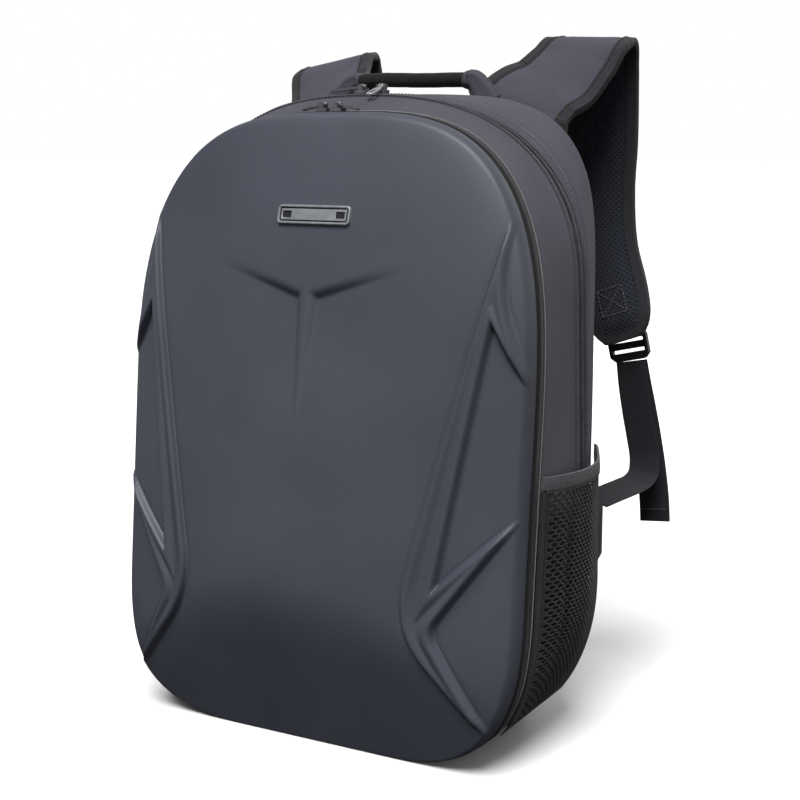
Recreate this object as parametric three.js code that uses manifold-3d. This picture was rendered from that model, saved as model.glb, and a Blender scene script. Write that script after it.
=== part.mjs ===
// Laptop backpack with a moulded front shell, standing on its base.
// Millimetres. +X is the wearer's left-to-right seen from the front, -Y is the front, +Z is up.
// The origin is the middle of the flat base.
import * as THREE from 'three';
import { mergeVertices } from 'three/addons/utils/BufferGeometryUtils.js';
import Module from 'manifold-3d';

const wasm = await Module();
wasm.setup();

// Driving dimensions
const MID_HEIGHT = 225;        // height at which the section depths below are given
const GAP = 0.3;               // clearance between pieces that are sewn or pressed together
const CLOTH = 2;               // thickness of the gusset cloth
const AROUND = 23;             // facets along half of a body section
const SHELL_AROUND = 40;       // facets along half of the shell rim

// Body sections from front to back. depth: y at mid height, lean: dy/dz, half: half width,
// top and base corners are superellipse arcs, flat: half of the straight bottom edge.
const SECTIONS = {
  rim: {
    depth: -50, lean: 0.092, top: 450, half: 163.5, topRadius: 219, topPower: 3.15,
    floor: 0, flat: 50, baseRadius: 120, basePower: 3.0,
  },
  zip: {
    depth: 30, lean: -0.071, top: 462.5, half: 165.5, topRadius: 135, topPower: 2.4,
    floor: 0, flat: 70, baseRadius: 118, basePower: 2.6,
  },
  rear: {
    depth: 53, lean: 0, top: 464, half: 163.5, topRadius: 160, topPower: 3.9,
    floor: 0, flat: 70, baseRadius: 118, basePower: 2.55,
  },
  back: {
    depth: 74, lean: 0, top: 457, half: 151, topRadius: 152, topPower: 3.6,
    floor: 7, flat: 66, baseRadius: 110, basePower: 2.5,
  },
};

// Front shell: dome over the rim, with a raised K-shaped band on each side and a Y in the middle
const SHELL = {
  wall: 3, centreHeight: 150, rollWidth: 4.5, rollTop: 7, rollSide: 12.5,
  crown: 27.5, crownLow: 6, crownPower: 0.72, underStart: 4, underSlope: 0.39, underBlend: 8,
  bandRise: 4.5, panelDrop: 8, yDrop: 4, edgeSoft: 8, bendRound: 27, rimFade: [3, 22],
};
// Heights between which the dome changes from its lower to its upper measure
const SHELL_FADES = { topRoll: [300, 450], crown: [120, 320] };
const BAND_LINE = { top: [143.4, 376.8], bend: [83.4, 107], end: [145.9, 33.3] };
// Sunk panels beside the band, each bounded by the lines between neighbouring corners
const PANELS = {
  upper: [[147, 376], [144, 331.7], [163, 279]],
  middle: [[163, 268], [140, 308.8], [113.3, 137.1], [163.3, 184.8]],
  lower: [[163.3, 181.7], [109.8, 105.6], [148.4, 35.6]],
};
const Y_MARK = { corner: [8.3, 322.5], tip: [88.5, 347.7], stemEnd: [0, 208] };
const SHELL_RINGS = [
  1, 0.985, 0.96, 0.93, 0.9, 0.865, 0.83, 0.79, 0.75, 0.71, 0.66, 0.6, 0.52, 0.42, 0.3, 0.15,
];
const SHELL_BACK_RINGS = [1, 0.95, 0.85, 0.5];

const BADGE = { width: 59, height: 13.5, thick: 2, corner: 3, middleHeight: 379, lift: 0.4 };

// Zips: the front one runs round the shell, the main one is an arch that ends behind the pockets
const FRONT_TAPE = { width: 8.6, inset: 2, thick: 1, chainStart: 1.3 };
const MAIN_TAPE = { halfWidth: 5.7, inset: 1.2, thick: 1 };
const CHAIN = { halfWidth: 2.2, thick: 1.6 };
const BASE_SPLIT = 0.786;      // share of the half outline, from the top, where the base panel starts
const SPLIT_GAP = 0.00025;
const GUSSET_COLUMNS = [0, 0.33, 0.67, 1];
const REAR_FOLD = 0.55;        // share of the way from the rear section to the back one

const BACK_PAD = { front: 74.35, shoulder: 81, face: 86, inset: 1, edgeRound: 9 };

// Side pockets of mesh cloth with an elastic band at the mouth
const POCKET = {
  wall: 1.6, mouth: 0.511, foot: 0.782, front: 0.03, zipShare: 0.8, bulge: 13, seat: 1.1, bandShare: 0.058,
  fullFrom: 0.55, footFull: 0.85, bellyPower: 0.7, levelling: 0.6, rearDrop: 0.012, rows: 7, columns: 8,
};

// Shoulder strap centre line, right side. across: direction of the width in the XZ plane, degrees below +X
const STRAP_ROWS = [
  { x: 83, y: 93.1, z: 420, width: 70, across: 20 },
  { x: 83.5, y: 93.2, z: 438, width: 71, across: 23 },
  { x: 85, y: 95.5, z: 454, width: 71, across: 24 },
  { x: 91, y: 107, z: 464.5, width: 68, across: 23 },
  { x: 99, y: 121, z: 472, width: 66, across: 20 },
  { x: 107.5, y: 135, z: 487, width: 65, across: 10 },
  { x: 114, y: 149, z: 501.5, width: 64, across: 3 },
  { x: 116, y: 162, z: 504, width: 61, across: 2 },
  { x: 115.5, y: 172, z: 488, width: 57, across: 0 },
  { x: 115.5, y: 176.5, z: 465, width: 55, across: 0 },
  { x: 116.5, y: 177.5, z: 430, width: 53, across: 0 },
  { x: 116.5, y: 175.5, z: 390, width: 52, across: -2 },
  { x: 122, y: 171, z: 345, width: 52, across: -8 },
  { x: 135, y: 166, z: 306, width: 51, across: -13 },
  { x: 142, y: 163, z: 286, width: 44, across: -15 },
  { x: 146, y: 161.5, z: 275, width: 30, across: -16 },
];
const STRAP = {
  thick: 11, ease: 3, lining: 1.6, seam: 0.7, binding: 3, bindingTall: 13.4, endWrap: 0.75,
  leftDrop: 12, leftDip: 13, leftWider: 8, dropFrom: 440, dropTo: 500,
};

// Webbing between strap and bag, right side. turn: degrees the width is turned out of +X toward -Z
const LOCK_WEB_ROWS = [
  { x: 134.2, y: 172.4, z: 304, turn: -13 },
  { x: 137.2, y: 171.2, z: 294, turn: -13 },
  { x: 139.8, y: 171.2, z: 286.5, turn: -13 },
  { x: 140.9, y: 172.2, z: 282.7, turn: -13 },
];
const LOWER_WEB_ROWS = [
  { x: 147.6, y: 171.2, z: 257.2, turn: -13 },
  { x: 149.6, y: 170.6, z: 243, turn: -12 },
  { x: 153.8, y: 170, z: 220, turn: -9 },
  { x: 158.9, y: 169.5, z: 197, turn: -6 },
  { x: 162.4, y: 168, z: 181, turn: -3 },
  { x: 163.8, y: 162.8, z: 171, turn: 2 },
  { x: 164, y: 152, z: 166.8, turn: 8 },
  { x: 163, y: 136, z: 165.6, turn: 13 },
  { x: 160.5, y: 117, z: 165.2, turn: 14 },
  { x: 157, y: 101, z: 164.4, turn: 13 },
  { x: 153, y: 86.4, z: 163, turn: 12 },
];
const TAIL_ROWS = [
  { x: 147.7, y: 173.7, z: 257.6, turn: -13 },
  { x: 150.4, y: 174.6, z: 243, turn: -11 },
  { x: 155.3, y: 175.5, z: 220, turn: -8 },
  { x: 160.2, y: 176, z: 196, turn: -5 },
  { x: 165, y: 176, z: 170, turn: -2 },
  { x: 168.6, y: 175, z: 147, turn: 1 },
  { x: 170.2, y: 174.4, z: 129.5, turn: 5 },
];
const WEBBING = { width: 25, thick: 1.6 };
const LOCK = {
  width: 33, height: 24, thick: 5, corner: 4, bar: 5.6, slot: 2.8, slotPlay: 0.8,
  middle: [144.7, 172.5, 270], turn: -13,
};
const TAB = {
  root: 151.4, tip: [159, 84.1], rootHalf: 34, tipHalf: 23, thick: 2, rootHeight: 138, tipHeight: 147,
};

const HANDLE = { span: 96, radius: 6, height: 476, rise: 2, depth: 80 };
const HANDLE_ANCHOR = { wide: 10, deep: 9, tall: 25 };

// Zip sliders and their pulls. heading: direction the pull lies in, degrees from +X,
// droop: degrees below level
const SLIDERS = {
  main_left: { zip: 'main', x: -5, heading: 180, droop: 7.5, length: 28 },
  main_right: { zip: 'main', x: 11, heading: -90, droop: 18, length: 20 },
  front_left: { zip: 'front', x: -14, heading: 180, droop: 12, length: 18 },
  front_right: { zip: 'front', x: -2, heading: 0, droop: 12, length: 18 },
};
const SLIDER = {
  long: 9, wide: 8, tall: 2.6, ear: 1.4, earLong: 3.6, earGap: 4.6, pinRadius: 0.8, pinHeight: 5,
};
const PULL = { eye: 2.1, hole: 1.25, thick: 1.4, eyeWide: 4, neck: 2, wide: 6, slotLong: 8, slotWide: 2.4 };

const MATERIALS = {
  shell: { color: 0x4b4f58, roughness: 0.5, metalness: 0 },
  badge: { color: 0x8f9296, roughness: 0.35, metalness: 0.9 },
  cloth: { color: 0x4c4a50, roughness: 0.85, metalness: 0 },
  darkCloth: { color: 0x1b1b1e, roughness: 0.9, metalness: 0 },
  tape: { color: 0x121214, roughness: 0.8, metalness: 0 },
  chain: { color: 0x3a3a3e, roughness: 0.5, metalness: 0 },
  mesh: { color: 0x26262a, roughness: 0.9, metalness: 0 },
  band: { color: 0x434346, roughness: 0.9, metalness: 0 },
  lining: { color: 0x1a2029, roughness: 0.9, metalness: 0 },
  binding: { color: 0x1c1c1f, roughness: 0.8, metalness: 0 },
  webbing: { color: 0x22222a, roughness: 0.7, metalness: 0 },
  plastic: { color: 0x17171a, roughness: 0.4, metalness: 0 },
  metal: { color: 0x6d6f73, roughness: 0.35, metalness: 0.9 },
};

// Small helpers
const lerp = (a, b, s) => a + (b - a) * s;
const clamp01 = (v) => Math.min(1, Math.max(0, v));
const smooth = (from, to, v) => {
  const s = clamp01((v - from) / (to - from));
  return s * s * (3 - 2 * s);
};
const radians = THREE.MathUtils.degToRad;
const vec = (x, y, z) => new THREE.Vector3(x, y, z);

const bag = new THREE.Group();
const finishes = Object.fromEntries(
  Object.entries(MATERIALS).map(([name, look]) => [name, new THREE.MeshStandardMaterial(look)]),
);

function addPiece(name, geometry, finish) {
  const piece = new THREE.Mesh(geometry, finishes[finish]);
  piece.name = name;
  bag.add(piece);
}

// Closed geometry from points and triangles, turned so that its faces point outward
function closedGeometry(points, triangles) {
  let volume = 0;
  const edge = vec(0, 0, 0);
  for (const [a, b, c] of triangles) {
    volume += points[a].dot(edge.crossVectors(points[b], points[c]));
  }
  const turned = volume < 0 ? triangles.map(([a, b, c]) => [a, c, b]) : triangles;
  const geometry = new THREE.BufferGeometry();
  geometry.setAttribute('position', new THREE.Float32BufferAttribute(points.flatMap((p) => p.toArray()), 3));
  geometry.setIndex(turned.flat());
  geometry.computeVertexNormals();
  return geometry;
}

// Wall between two grids of points, rows running along the piece and columns across it
function wallBetween(outer, inner, closedRows = false) {
  const rows = outer.length;
  const columns = outer[0].length;
  const points = [...outer.flat(), ...inner.flat()];
  const at = (side, row, column) => side * rows * columns + (row % rows) * columns + column;
  const triangles = [];
  const quad = (a, b, c, d) => triangles.push([a, b, c], [a, c, d]);
  const lastRow = closedRows ? rows : rows - 1;
  for (let r = 0; r < lastRow; r += 1) {
    for (let c = 0; c < columns - 1; c += 1) {
      quad(at(0, r, c), at(0, r + 1, c), at(0, r + 1, c + 1), at(0, r, c + 1));
      quad(at(1, r, c), at(1, r, c + 1), at(1, r + 1, c + 1), at(1, r + 1, c));
    }
    quad(at(0, r, 0), at(1, r, 0), at(1, r + 1, 0), at(0, r + 1, 0));
    const e = columns - 1;
    quad(at(0, r, e), at(0, r + 1, e), at(1, r + 1, e), at(1, r, e));
  }
  if (!closedRows) {
    for (let c = 0; c < columns - 1; c += 1) {
      const e = rows - 1;
      quad(at(0, 0, c), at(0, 0, c + 1), at(1, 0, c + 1), at(1, 0, c));
      quad(at(0, e, c), at(1, e, c), at(1, e, c + 1), at(0, e, c + 1));
    }
  }
  return closedGeometry(points, triangles);
}

// Grid moved along its own normals; a positive distance is to the side of outward
function offsetGrid(grid, distance, outward) {
  const rows = grid.length;
  const columns = grid[0].length;
  const rowAt = (r) => Math.min(rows - 1, Math.max(0, r));
  return grid.map((row, r) => row.map((p, c) => {
    const along = grid[rowAt(r + 1)][c].clone().sub(grid[rowAt(r - 1)][c]);
    const across = row[Math.min(columns - 1, c + 1)].clone().sub(row[Math.max(0, c - 1)]);
    const normal = along.cross(across).normalize();
    if (normal.dot(outward) < 0) normal.negate();
    return p.clone().addScaledVector(normal, distance);
  }));
}

// Solid skinned over a row of convex loops with the same number of points
function skinLoops(loops) {
  const count = loops[0].length;
  const points = loops.flat();
  const triangles = [];
  for (let r = 0; r < loops.length - 1; r += 1) {
    for (let c = 0; c < count; c += 1) {
      const a = r * count + c;
      const b = r * count + ((c + 1) % count);
      triangles.push([a, b, b + count], [a, b + count, a + count]);
    }
  }
  for (const [loop, first] of [[loops[0], true], [loops[loops.length - 1], false]]) {
    const start = first ? 0 : (loops.length - 1) * count;
    const hub = points.length;
    points.push(loop.reduce((sum, p) => sum.add(p), vec(0, 0, 0)).multiplyScalar(1 / count));
    for (let c = 0; c < count; c += 1) {
      const pair = [start + c, start + ((c + 1) % count)];
      triangles.push(first ? [hub, pair[1], pair[0]] : [hub, pair[0], pair[1]]);
    }
  }
  return closedGeometry(points, triangles);
}

// Joined solid of several closed geometries
function joined(geometries) {
  const solids = geometries.map((geometry) => {
    const bare = geometry.clone();
    bare.deleteAttribute('normal');
    bare.deleteAttribute('uv');
    const welded = mergeVertices(bare);
    return new wasm.Manifold(new wasm.Mesh({
      numProp: 3,
      vertProperties: new Float32Array(welded.attributes.position.array),
      triVerts: new Uint32Array(welded.index.array),
    }));
  });
  const whole = solids.reduce((sum, next) => sum.add(next)).getMesh();
  const geometry = new THREE.BufferGeometry();
  geometry.setAttribute('position', new THREE.BufferAttribute(whole.vertProperties, 3));
  geometry.setIndex(new THREE.BufferAttribute(whole.triVerts, 1));
  geometry.computeVertexNormals();
  return geometry;
}

// Body outline: the right half of a section from the middle of the top to the middle of the bottom
const ARC_STEPS = 120;
function halfOutline(section) {
  const points = [];
  for (let i = 0; i <= ARC_STEPS; i += 1) {
    const t = (i / ARC_STEPS) * (Math.PI / 2);
    const power = 2 / section.topPower;
    points.push([
      section.half * Math.sin(t) ** power,
      section.top - section.topRadius * (1 - Math.cos(t) ** power),
    ]);
  }
  for (let i = 0; i <= ARC_STEPS; i += 1) {
    const t = (i / ARC_STEPS) * (Math.PI / 2);
    const power = 2 / section.basePower;
    const drop = i === ARC_STEPS ? 1 : Math.sin(t) ** power;
    points.push([
      section.flat + (section.half - section.flat) * Math.cos(t) ** power,
      section.floor + section.baseRadius * (1 - drop),
    ]);
  }
  points.push([0, section.floor]);
  return points;
}

// Sampler of a section by the share of its half outline; negative shares are the left half
function sectionSampler(section) {
  const points = halfOutline(section);
  const lengths = [0];
  for (let i = 1; i < points.length; i += 1) {
    const step = Math.hypot(points[i][0] - points[i - 1][0], points[i][1] - points[i - 1][1]);
    lengths.push(lengths[i - 1] + step);
  }
  const total = lengths[lengths.length - 1];
  return (share) => {
    const target = clamp01(Math.abs(share)) * total;
    let i = 1;
    while (i < points.length - 1 && lengths[i] < target) i += 1;
    const s = (target - lengths[i - 1]) / Math.max(1e-9, lengths[i] - lengths[i - 1]);
    const x = lerp(points[i - 1][0], points[i][0], s);
    const z = lerp(points[i - 1][1], points[i][1], s);
    return vec(share < 0 ? -x : x, section.depth + section.lean * (z - MID_HEIGHT), z);
  };
}

const inset = (section, distance) => ({
  ...section,
  top: section.top - distance,
  half: section.half - distance,
  floor: section.floor + distance,
});
const shifted = (sampler, dy) => (share) => sampler(share).add(vec(0, dy, 0));
const between = (a, b, s) => (share) => a(share).lerp(b(share), s);

const rimAt = sectionSampler(SECTIONS.rim);
const zipAt = sectionSampler(SECTIONS.zip);
const rearAt = sectionSampler(SECTIONS.rear);
const backAt = sectionSampler(SECTIONS.back);

// Shares of the outline, from the right end over the top to the left end
function archShares(limit) {
  const steps = Math.round(AROUND * limit);
  const shares = [];
  for (let i = -steps; i <= steps; i += 1) shares.push((-i / steps) * limit);
  return shares;
}
const ringOf = (half) => Array.from({ length: 2 * half }, (_, i) => 1 - i / half);
const ringShares = ringOf(AROUND);
const baseShares = (limit) => {
  const steps = 2 * Math.round(AROUND * (1 - limit));
  return Array.from({ length: steps + 1 }, (_, i) => lerp(limit, 2 - limit, i / steps));
};
const wrapped = (share) => (share > 1 ? share - 2 : share);

const bodyOutward = (p) => vec(p.x / SECTIONS.rim.half, 0, (p.z - MID_HEIGHT) / MID_HEIGHT);

// Inner side of the body cloth: the outline moved inward in its own plane
const TANGENT_STEP = 0.004;
function inward(sampler, share, distance) {
  const along = sampler(wrapped(share + TANGENT_STEP)).sub(sampler(wrapped(share - TANGENT_STEP)));
  const normal = vec(along.z, 0, -along.x).normalize();
  const p = sampler(wrapped(share));
  if (normal.dot(bodyOutward(p)) < 0) normal.negate();
  return p.addScaledVector(normal, -distance);
}

function strip(samplers, shares, thickness, closedRows = false) {
  const outer = shares.map((share) => samplers.map((sampler) => sampler(wrapped(share))));
  const inner = shares.map((share) => samplers.map((sampler) => inward(sampler, share, thickness)));
  return wallBetween(outer, inner, closedRows);
}

// Front shell
const RIM_STEPS = 480;
const RIM_POLAR = (() => {
  const rows = Array.from({ length: RIM_STEPS + 1 }, (_, i) => {
    const { x, z } = rimAt(i / RIM_STEPS);
    const rise = z - SHELL.centreHeight;
    return { angle: Math.atan2(rise, x), reach: Math.hypot(x, rise) };
  });
  return rows.sort((a, b) => a.angle - b.angle);
})();

function rimReach(x, z) {
  const angle = Math.atan2(z - SHELL.centreHeight, Math.abs(x));
  let i = 1;
  while (i < RIM_POLAR.length - 1 && RIM_POLAR[i].angle < angle) i += 1;
  const low = RIM_POLAR[i - 1];
  const high = RIM_POLAR[i];
  return lerp(low.reach, high.reach, clamp01((angle - low.angle) / Math.max(1e-9, high.angle - low.angle)));
}

// Distance of a point to the left of the line from a to b
function beside([ax, az], [bx, bz], x, z) {
  const length = Math.hypot(bx - ax, bz - az);
  return ((bx - ax) * (z - az) - (bz - az) * (x - ax)) / length;
}

// Smaller of two distances, with the corner between them rounded
const roundedMin = (a, b, round) => Math.min(a, b) - Math.max(0, round - Math.abs(a - b)) ** 2 / (4 * round);

function domeHeight(x, z) {
  const reach = rimReach(x, z);
  const share = Math.min(1, Math.hypot(x, z - SHELL.centreHeight) / reach);
  const edge = (1 - share) * reach;
  const rollHeight = lerp(SHELL.rollSide, SHELL.rollTop, smooth(...SHELL_FADES.topRoll, z));
  const roll = edge < SHELL.rollWidth ? Math.sqrt(Math.max(0, 1 - (1 - edge / SHELL.rollWidth) ** 2)) : 1;
  const crown = SHELL.crown + SHELL.crownLow * (1 - smooth(...SHELL_FADES.crown, z));
  const dome = rollHeight * roll + crown * (1 - share * share) ** SHELL.crownPower;
  const under = SHELL.underStart + SHELL.underSlope * z;
  const mix = clamp01(0.5 + (under - dome) / (2 * SHELL.underBlend));
  return { height: lerp(under, dome, mix) - SHELL.underBlend * mix * (1 - mix), edge };
}

function relief(x, z, edge) {
  const side = Math.abs(x);
  const { top, bend, end } = BAND_LINE;
  const beyondBand = roundedMin(-beside(bend, top, side, z), beside(bend, end, side, z), SHELL.bendRound);
  let height = SHELL.bandRise * smooth(0, SHELL.edgeSoft, beyondBand);
  for (const corners of Object.values(PANELS)) {
    let inside = Infinity;
    for (let i = 1; i < corners.length; i += 1) {
      inside = Math.min(inside, beside(corners[i - 1], corners[i], side, z));
    }
    height -= SHELL.panelDrop * smooth(0, SHELL.edgeSoft, inside);
  }
  const { corner, tip, stemEnd } = Y_MARK;
  const belowArm = smooth(0, SHELL.edgeSoft, -beside(corner, tip, side, z));
  const besideStem = smooth(0, SHELL.edgeSoft, -beside(stemEnd, corner, side, z));
  const fade = (1 - smooth(0, 1, (side - corner[0]) / (tip[0] - corner[0])))
    * (1 - smooth(0, 1, (corner[1] - z) / (corner[1] - stemEnd[1])));
  height -= SHELL.yDrop * belowArm * besideStem * fade;
  return height * smooth(...SHELL.rimFade, edge);
}

const rimDepth = (z) => SECTIONS.rim.depth + SECTIONS.rim.lean * (z - MID_HEIGHT);

function shellPoint(x, z) {
  const { height, edge } = domeHeight(x, z);
  return vec(x, rimDepth(z) - height - relief(x, z, edge), z);
}

function frontShell() {
  const centre = SHELL.centreHeight;
  const innerRim = sectionSampler(inset(SECTIONS.rim, SHELL.wall));
  const spread = (sampler, share, k) => {
    const p = sampler(wrapped(share));
    return [p.x * k, centre + (p.z - centre) * k];
  };
  const sunk = SHELL.wall + SHELL.panelDrop - SHELL.bandRise;
  const shares = ringOf(SHELL_AROUND);
  const outer = SHELL_RINGS.map((k) => shares.map((share) => shellPoint(...spread(rimAt, share, k))));
  const inner = SHELL_BACK_RINGS.map((k) => shares.map((share) => {
    const [x, z] = spread(innerRim, share, k);
    const height = k === 1 ? 0 : Math.max(0, domeHeight(x, z).height - sunk);
    return vec(x, rimDepth(z) - height, z);
  }));
  const points = [];
  const triangles = [];
  const count = shares.length;
  const lay = (rings) => {
    const start = points.length;
    points.push(...rings.flat());
    const hub = points.length;
    const last = rings[rings.length - 1];
    points.push(last.reduce((sum, p) => sum.add(p), vec(0, 0, 0)).multiplyScalar(1 / count));
    return { start, hub, rings: rings.length };
  };
  const front = lay(outer);
  const rear = lay(inner);
  // Each square is cut along the diagonal that lies closer to the moulded surface
  const misfit = (a, b) => {
    const middle = points[a].clone().add(points[b]).multiplyScalar(0.5);
    return Math.abs(shellPoint(middle.x, middle.z).y - middle.y);
  };
  const face = (sheet, flip) => {
    const put = (a, b, c) => triangles.push(flip ? [a, c, b] : [a, b, c]);
    for (let r = 0; r < sheet.rings - 1; r += 1) {
      for (let j = 0; j < count; j += 1) {
        const a = sheet.start + r * count + j;
        const b = sheet.start + r * count + ((j + 1) % count);
        if (flip || misfit(a, b + count) < misfit(b, a + count)) {
          put(a, b, b + count);
          put(a, b + count, a + count);
        } else {
          put(a, b, a + count);
          put(b, b + count, a + count);
        }
      }
    }
    const end = sheet.start + (sheet.rings - 1) * count;
    for (let j = 0; j < count; j += 1) put(end + j, end + ((j + 1) % count), sheet.hub);
  };
  face(front, false);
  face(rear, true);
  for (let j = 0; j < count; j += 1) {
    const next = (j + 1) % count;
    triangles.push([front.start + next, front.start + j, rear.start + j]);
    triangles.push([front.start + next, rear.start + j, rear.start + next]);
  }
  return closedGeometry(points, triangles);
}
addPiece('front_shell', frontShell(), 'shell');

// Bare metal plate on the shell, tilted with it
function badgePlate() {
  const w = BADGE.width / 2;
  const h = BADGE.height / 2;
  const r = BADGE.corner;
  const outline = new THREE.Shape();
  outline.moveTo(-w + r, -h).lineTo(w - r, -h).absarc(w - r, -h + r, r, -Math.PI / 2, 0);
  outline.lineTo(w, h - r).absarc(w - r, h - r, r, 0, Math.PI / 2);
  outline.lineTo(-w + r, h).absarc(-w + r, h - r, r, Math.PI / 2, Math.PI);
  outline.lineTo(-w, -h + r).absarc(-w + r, -h + r, r, Math.PI, 1.5 * Math.PI);
  const plate = new THREE.ExtrudeGeometry(outline, {
    depth: BADGE.thick, bevelEnabled: false, curveSegments: 3,
  });
  const low = shellPoint(0, BADGE.middleHeight - h);
  const high = shellPoint(0, BADGE.middleHeight + h);
  const tilt = Math.atan2(high.y - low.y, high.z - low.z);
  plate.rotateX(Math.PI / 2 - tilt);
  const middle = low.add(high).multiplyScalar(0.5);
  plate.translate(0, middle.y - BADGE.lift * Math.cos(tilt), middle.z + BADGE.lift * Math.sin(tilt));
  return plate;
}
addPiece('badge_plate', badgePlate(), 'badge');

// Front zip: black tape sunk behind the rim, with its chain
const sunkRim = (distance) => sectionSampler(inset(SECTIONS.rim, distance));
const tapeRing = sunkRim(FRONT_TAPE.inset);
addPiece('front_zip_tape', strip(
  [shifted(tapeRing, GAP), shifted(tapeRing, FRONT_TAPE.width)], ringShares, FRONT_TAPE.thick, true,
), 'tape');
const frontChainRing = sunkRim(FRONT_TAPE.inset - GAP - CHAIN.thick);
addPiece('front_zip_chain', strip(
  [0, 2 * CHAIN.halfWidth].map((across) => shifted(frontChainRing, FRONT_TAPE.chainStart + across)),
  archShares(BASE_SPLIT), CHAIN.thick,
), 'chain');

// Gussets in front of and behind the main zip, arches that end at the base panel
const bodyArch = archShares(BASE_SPLIT - SPLIT_GAP);
const gussetFront = shifted(rimAt, FRONT_TAPE.width + GAP);
const zipLip = MAIN_TAPE.halfWidth + GAP;
const frontLip = shifted(zipAt, -zipLip);
addPiece('front_gusset', strip(
  GUSSET_COLUMNS.map((across) => between(gussetFront, frontLip, across)), bodyArch, CLOTH,
), 'cloth');
const rearColumns = [shifted(zipAt, zipLip), rearAt, between(rearAt, backAt, REAR_FOLD), backAt];
addPiece('rear_gusset', strip(rearColumns, bodyArch, CLOTH), 'cloth');

// Main zip
const sunkZip = (distance) => sectionSampler(inset(SECTIONS.zip, distance));
const mainTapeAt = sunkZip(MAIN_TAPE.inset);
addPiece('main_zip_tape', strip(
  [shifted(mainTapeAt, -MAIN_TAPE.halfWidth), shifted(mainTapeAt, MAIN_TAPE.halfWidth)],
  bodyArch, MAIN_TAPE.thick,
), 'tape');
const mainChainAt = sunkZip(MAIN_TAPE.inset - GAP - CHAIN.thick);
addPiece('main_zip_chain', strip(
  [shifted(mainChainAt, -CHAIN.halfWidth), shifted(mainChainAt, CHAIN.halfWidth)], bodyArch, CHAIN.thick,
), 'chain');

// Dark base panel: the bottom with its turned-up ends
addPiece('base_panel', strip(
  [gussetFront, frontLip, ...rearColumns], baseShares(BASE_SPLIT + SPLIT_GAP), CLOTH,
), 'darkCloth');

// Padded back panel
function backPanel() {
  const rim = inset(SECTIONS.back, BACK_PAD.inset);
  const crest = inset(rim, BACK_PAD.edgeRound);
  const rows = [[rim, BACK_PAD.front], [rim, BACK_PAD.shoulder], [crest, BACK_PAD.face]];
  return skinLoops(rows.map(([section, y]) => {
    const sampler = sectionSampler({ ...section, depth: y });
    return ringShares.map((share) => sampler(wrapped(share)));
  }));
}
addPiece('back_panel', backPanel(), 'cloth');

// Side pockets: a bulging wall sewn to the gusset in front, behind and below, open at the top
function bodySide(share, depth) {
  const front = gussetFront(share);
  const zip = zipAt(share);
  const rear = rearAt(share);
  const joint = POCKET.zipShare;
  return depth < joint ? front.lerp(zip, depth / joint) : zip.lerp(rear, (depth - joint) / (1 - joint));
}

function pocketGrid(side, fromShare, toShare, rows) {
  const grid = [];
  for (let r = 0; r <= rows; r += 1) {
    const share = lerp(fromShare, toShare, r / rows);
    const height = (POCKET.foot - share) / (POCKET.foot - POCKET.mouth);
    const fullness = smooth(0, POCKET.fullFrom, height) * lerp(POCKET.footFull, 1, height);
    const row = [];
    for (let c = 0; c <= POCKET.columns; c += 1) {
      const depth = lerp(POCKET.front, 1, c / POCKET.columns);
      const belly = Math.sin((Math.PI * c) / POCKET.columns) ** POCKET.bellyPower;
      const p = bodySide(side * (share + POCKET.rearDrop * depth * height), depth);
      const outward = bodyOutward(p).multiply(vec(1, 1, POCKET.levelling)).normalize();
      row.push(p.addScaledVector(outward, POCKET.seat + POCKET.wall + POCKET.bulge * belly * fullness));
    }
    grid.push(row);
  }
  return grid;
}

function pocketWall(side, fromShare, toShare, rows, thickness) {
  const outer = pocketGrid(side, fromShare, toShare, rows);
  return wallBetween(outer, offsetGrid(outer, -thickness, vec(side, 0, 0)));
}

for (const [label, side] of [['right', 1], ['left', -1]]) {
  const bandEnd = lerp(POCKET.mouth, POCKET.foot, POCKET.bandShare);
  addPiece(`side_pocket_${label}`,
    pocketWall(side, bandEnd + SPLIT_GAP * 2, POCKET.foot, POCKET.rows, POCKET.wall), 'mesh');
  addPiece(`pocket_band_${label}`, pocketWall(side, POCKET.mouth, bandEnd, 1, POCKET.wall), 'band');
}

// Shoulder straps
function strapFrames(side, drop, dip, wider) {
  return STRAP_ROWS.map((row, i) => {
    const before = STRAP_ROWS[Math.max(0, i - 1)];
    const after = STRAP_ROWS[Math.min(STRAP_ROWS.length - 1, i + 1)];
    const lowered = (r) => r.z - drop * smooth(STRAP.dropFrom, STRAP.dropTo, r.z);
    const rise = lowered(after) - lowered(before);
    const along = vec(side * (after.x - before.x), after.y - before.y, rise).normalize();
    const high = smooth(STRAP.dropFrom, STRAP.dropTo, row.z);
    const angle = radians(row.across + dip * high);
    const across = vec(side * Math.cos(angle), 0, -Math.sin(angle));
    const normal = across.clone().cross(along).normalize().multiplyScalar(side);
    const half = (row.width + wider * high) / 2;
    return { middle: vec(side * row.x, row.y, lowered(row)), along, across, normal, half };
  });
}

const frameBox = (frame, half, from, to) => [
  frame.middle.clone().addScaledVector(frame.across, -half).addScaledVector(frame.normal, from),
  frame.middle.clone().addScaledVector(frame.across, half).addScaledVector(frame.normal, from),
  frame.middle.clone().addScaledVector(frame.across, half).addScaledVector(frame.normal, to),
  frame.middle.clone().addScaledVector(frame.across, -half).addScaledVector(frame.normal, to),
];

// Pad section: flat faces with eased corners
function padLoop(frame, half, from, to) {
  const { ease } = STRAP;
  const at = (a, n) => frame.middle.clone().addScaledVector(frame.across, a).addScaledVector(frame.normal, n);
  return [
    at(-half, from + ease), at(-half + ease, from), at(half - ease, from), at(half, from + ease),
    at(half, to - ease), at(half - ease, to), at(-half + ease, to), at(-half, to - ease),
  ];
}

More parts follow.
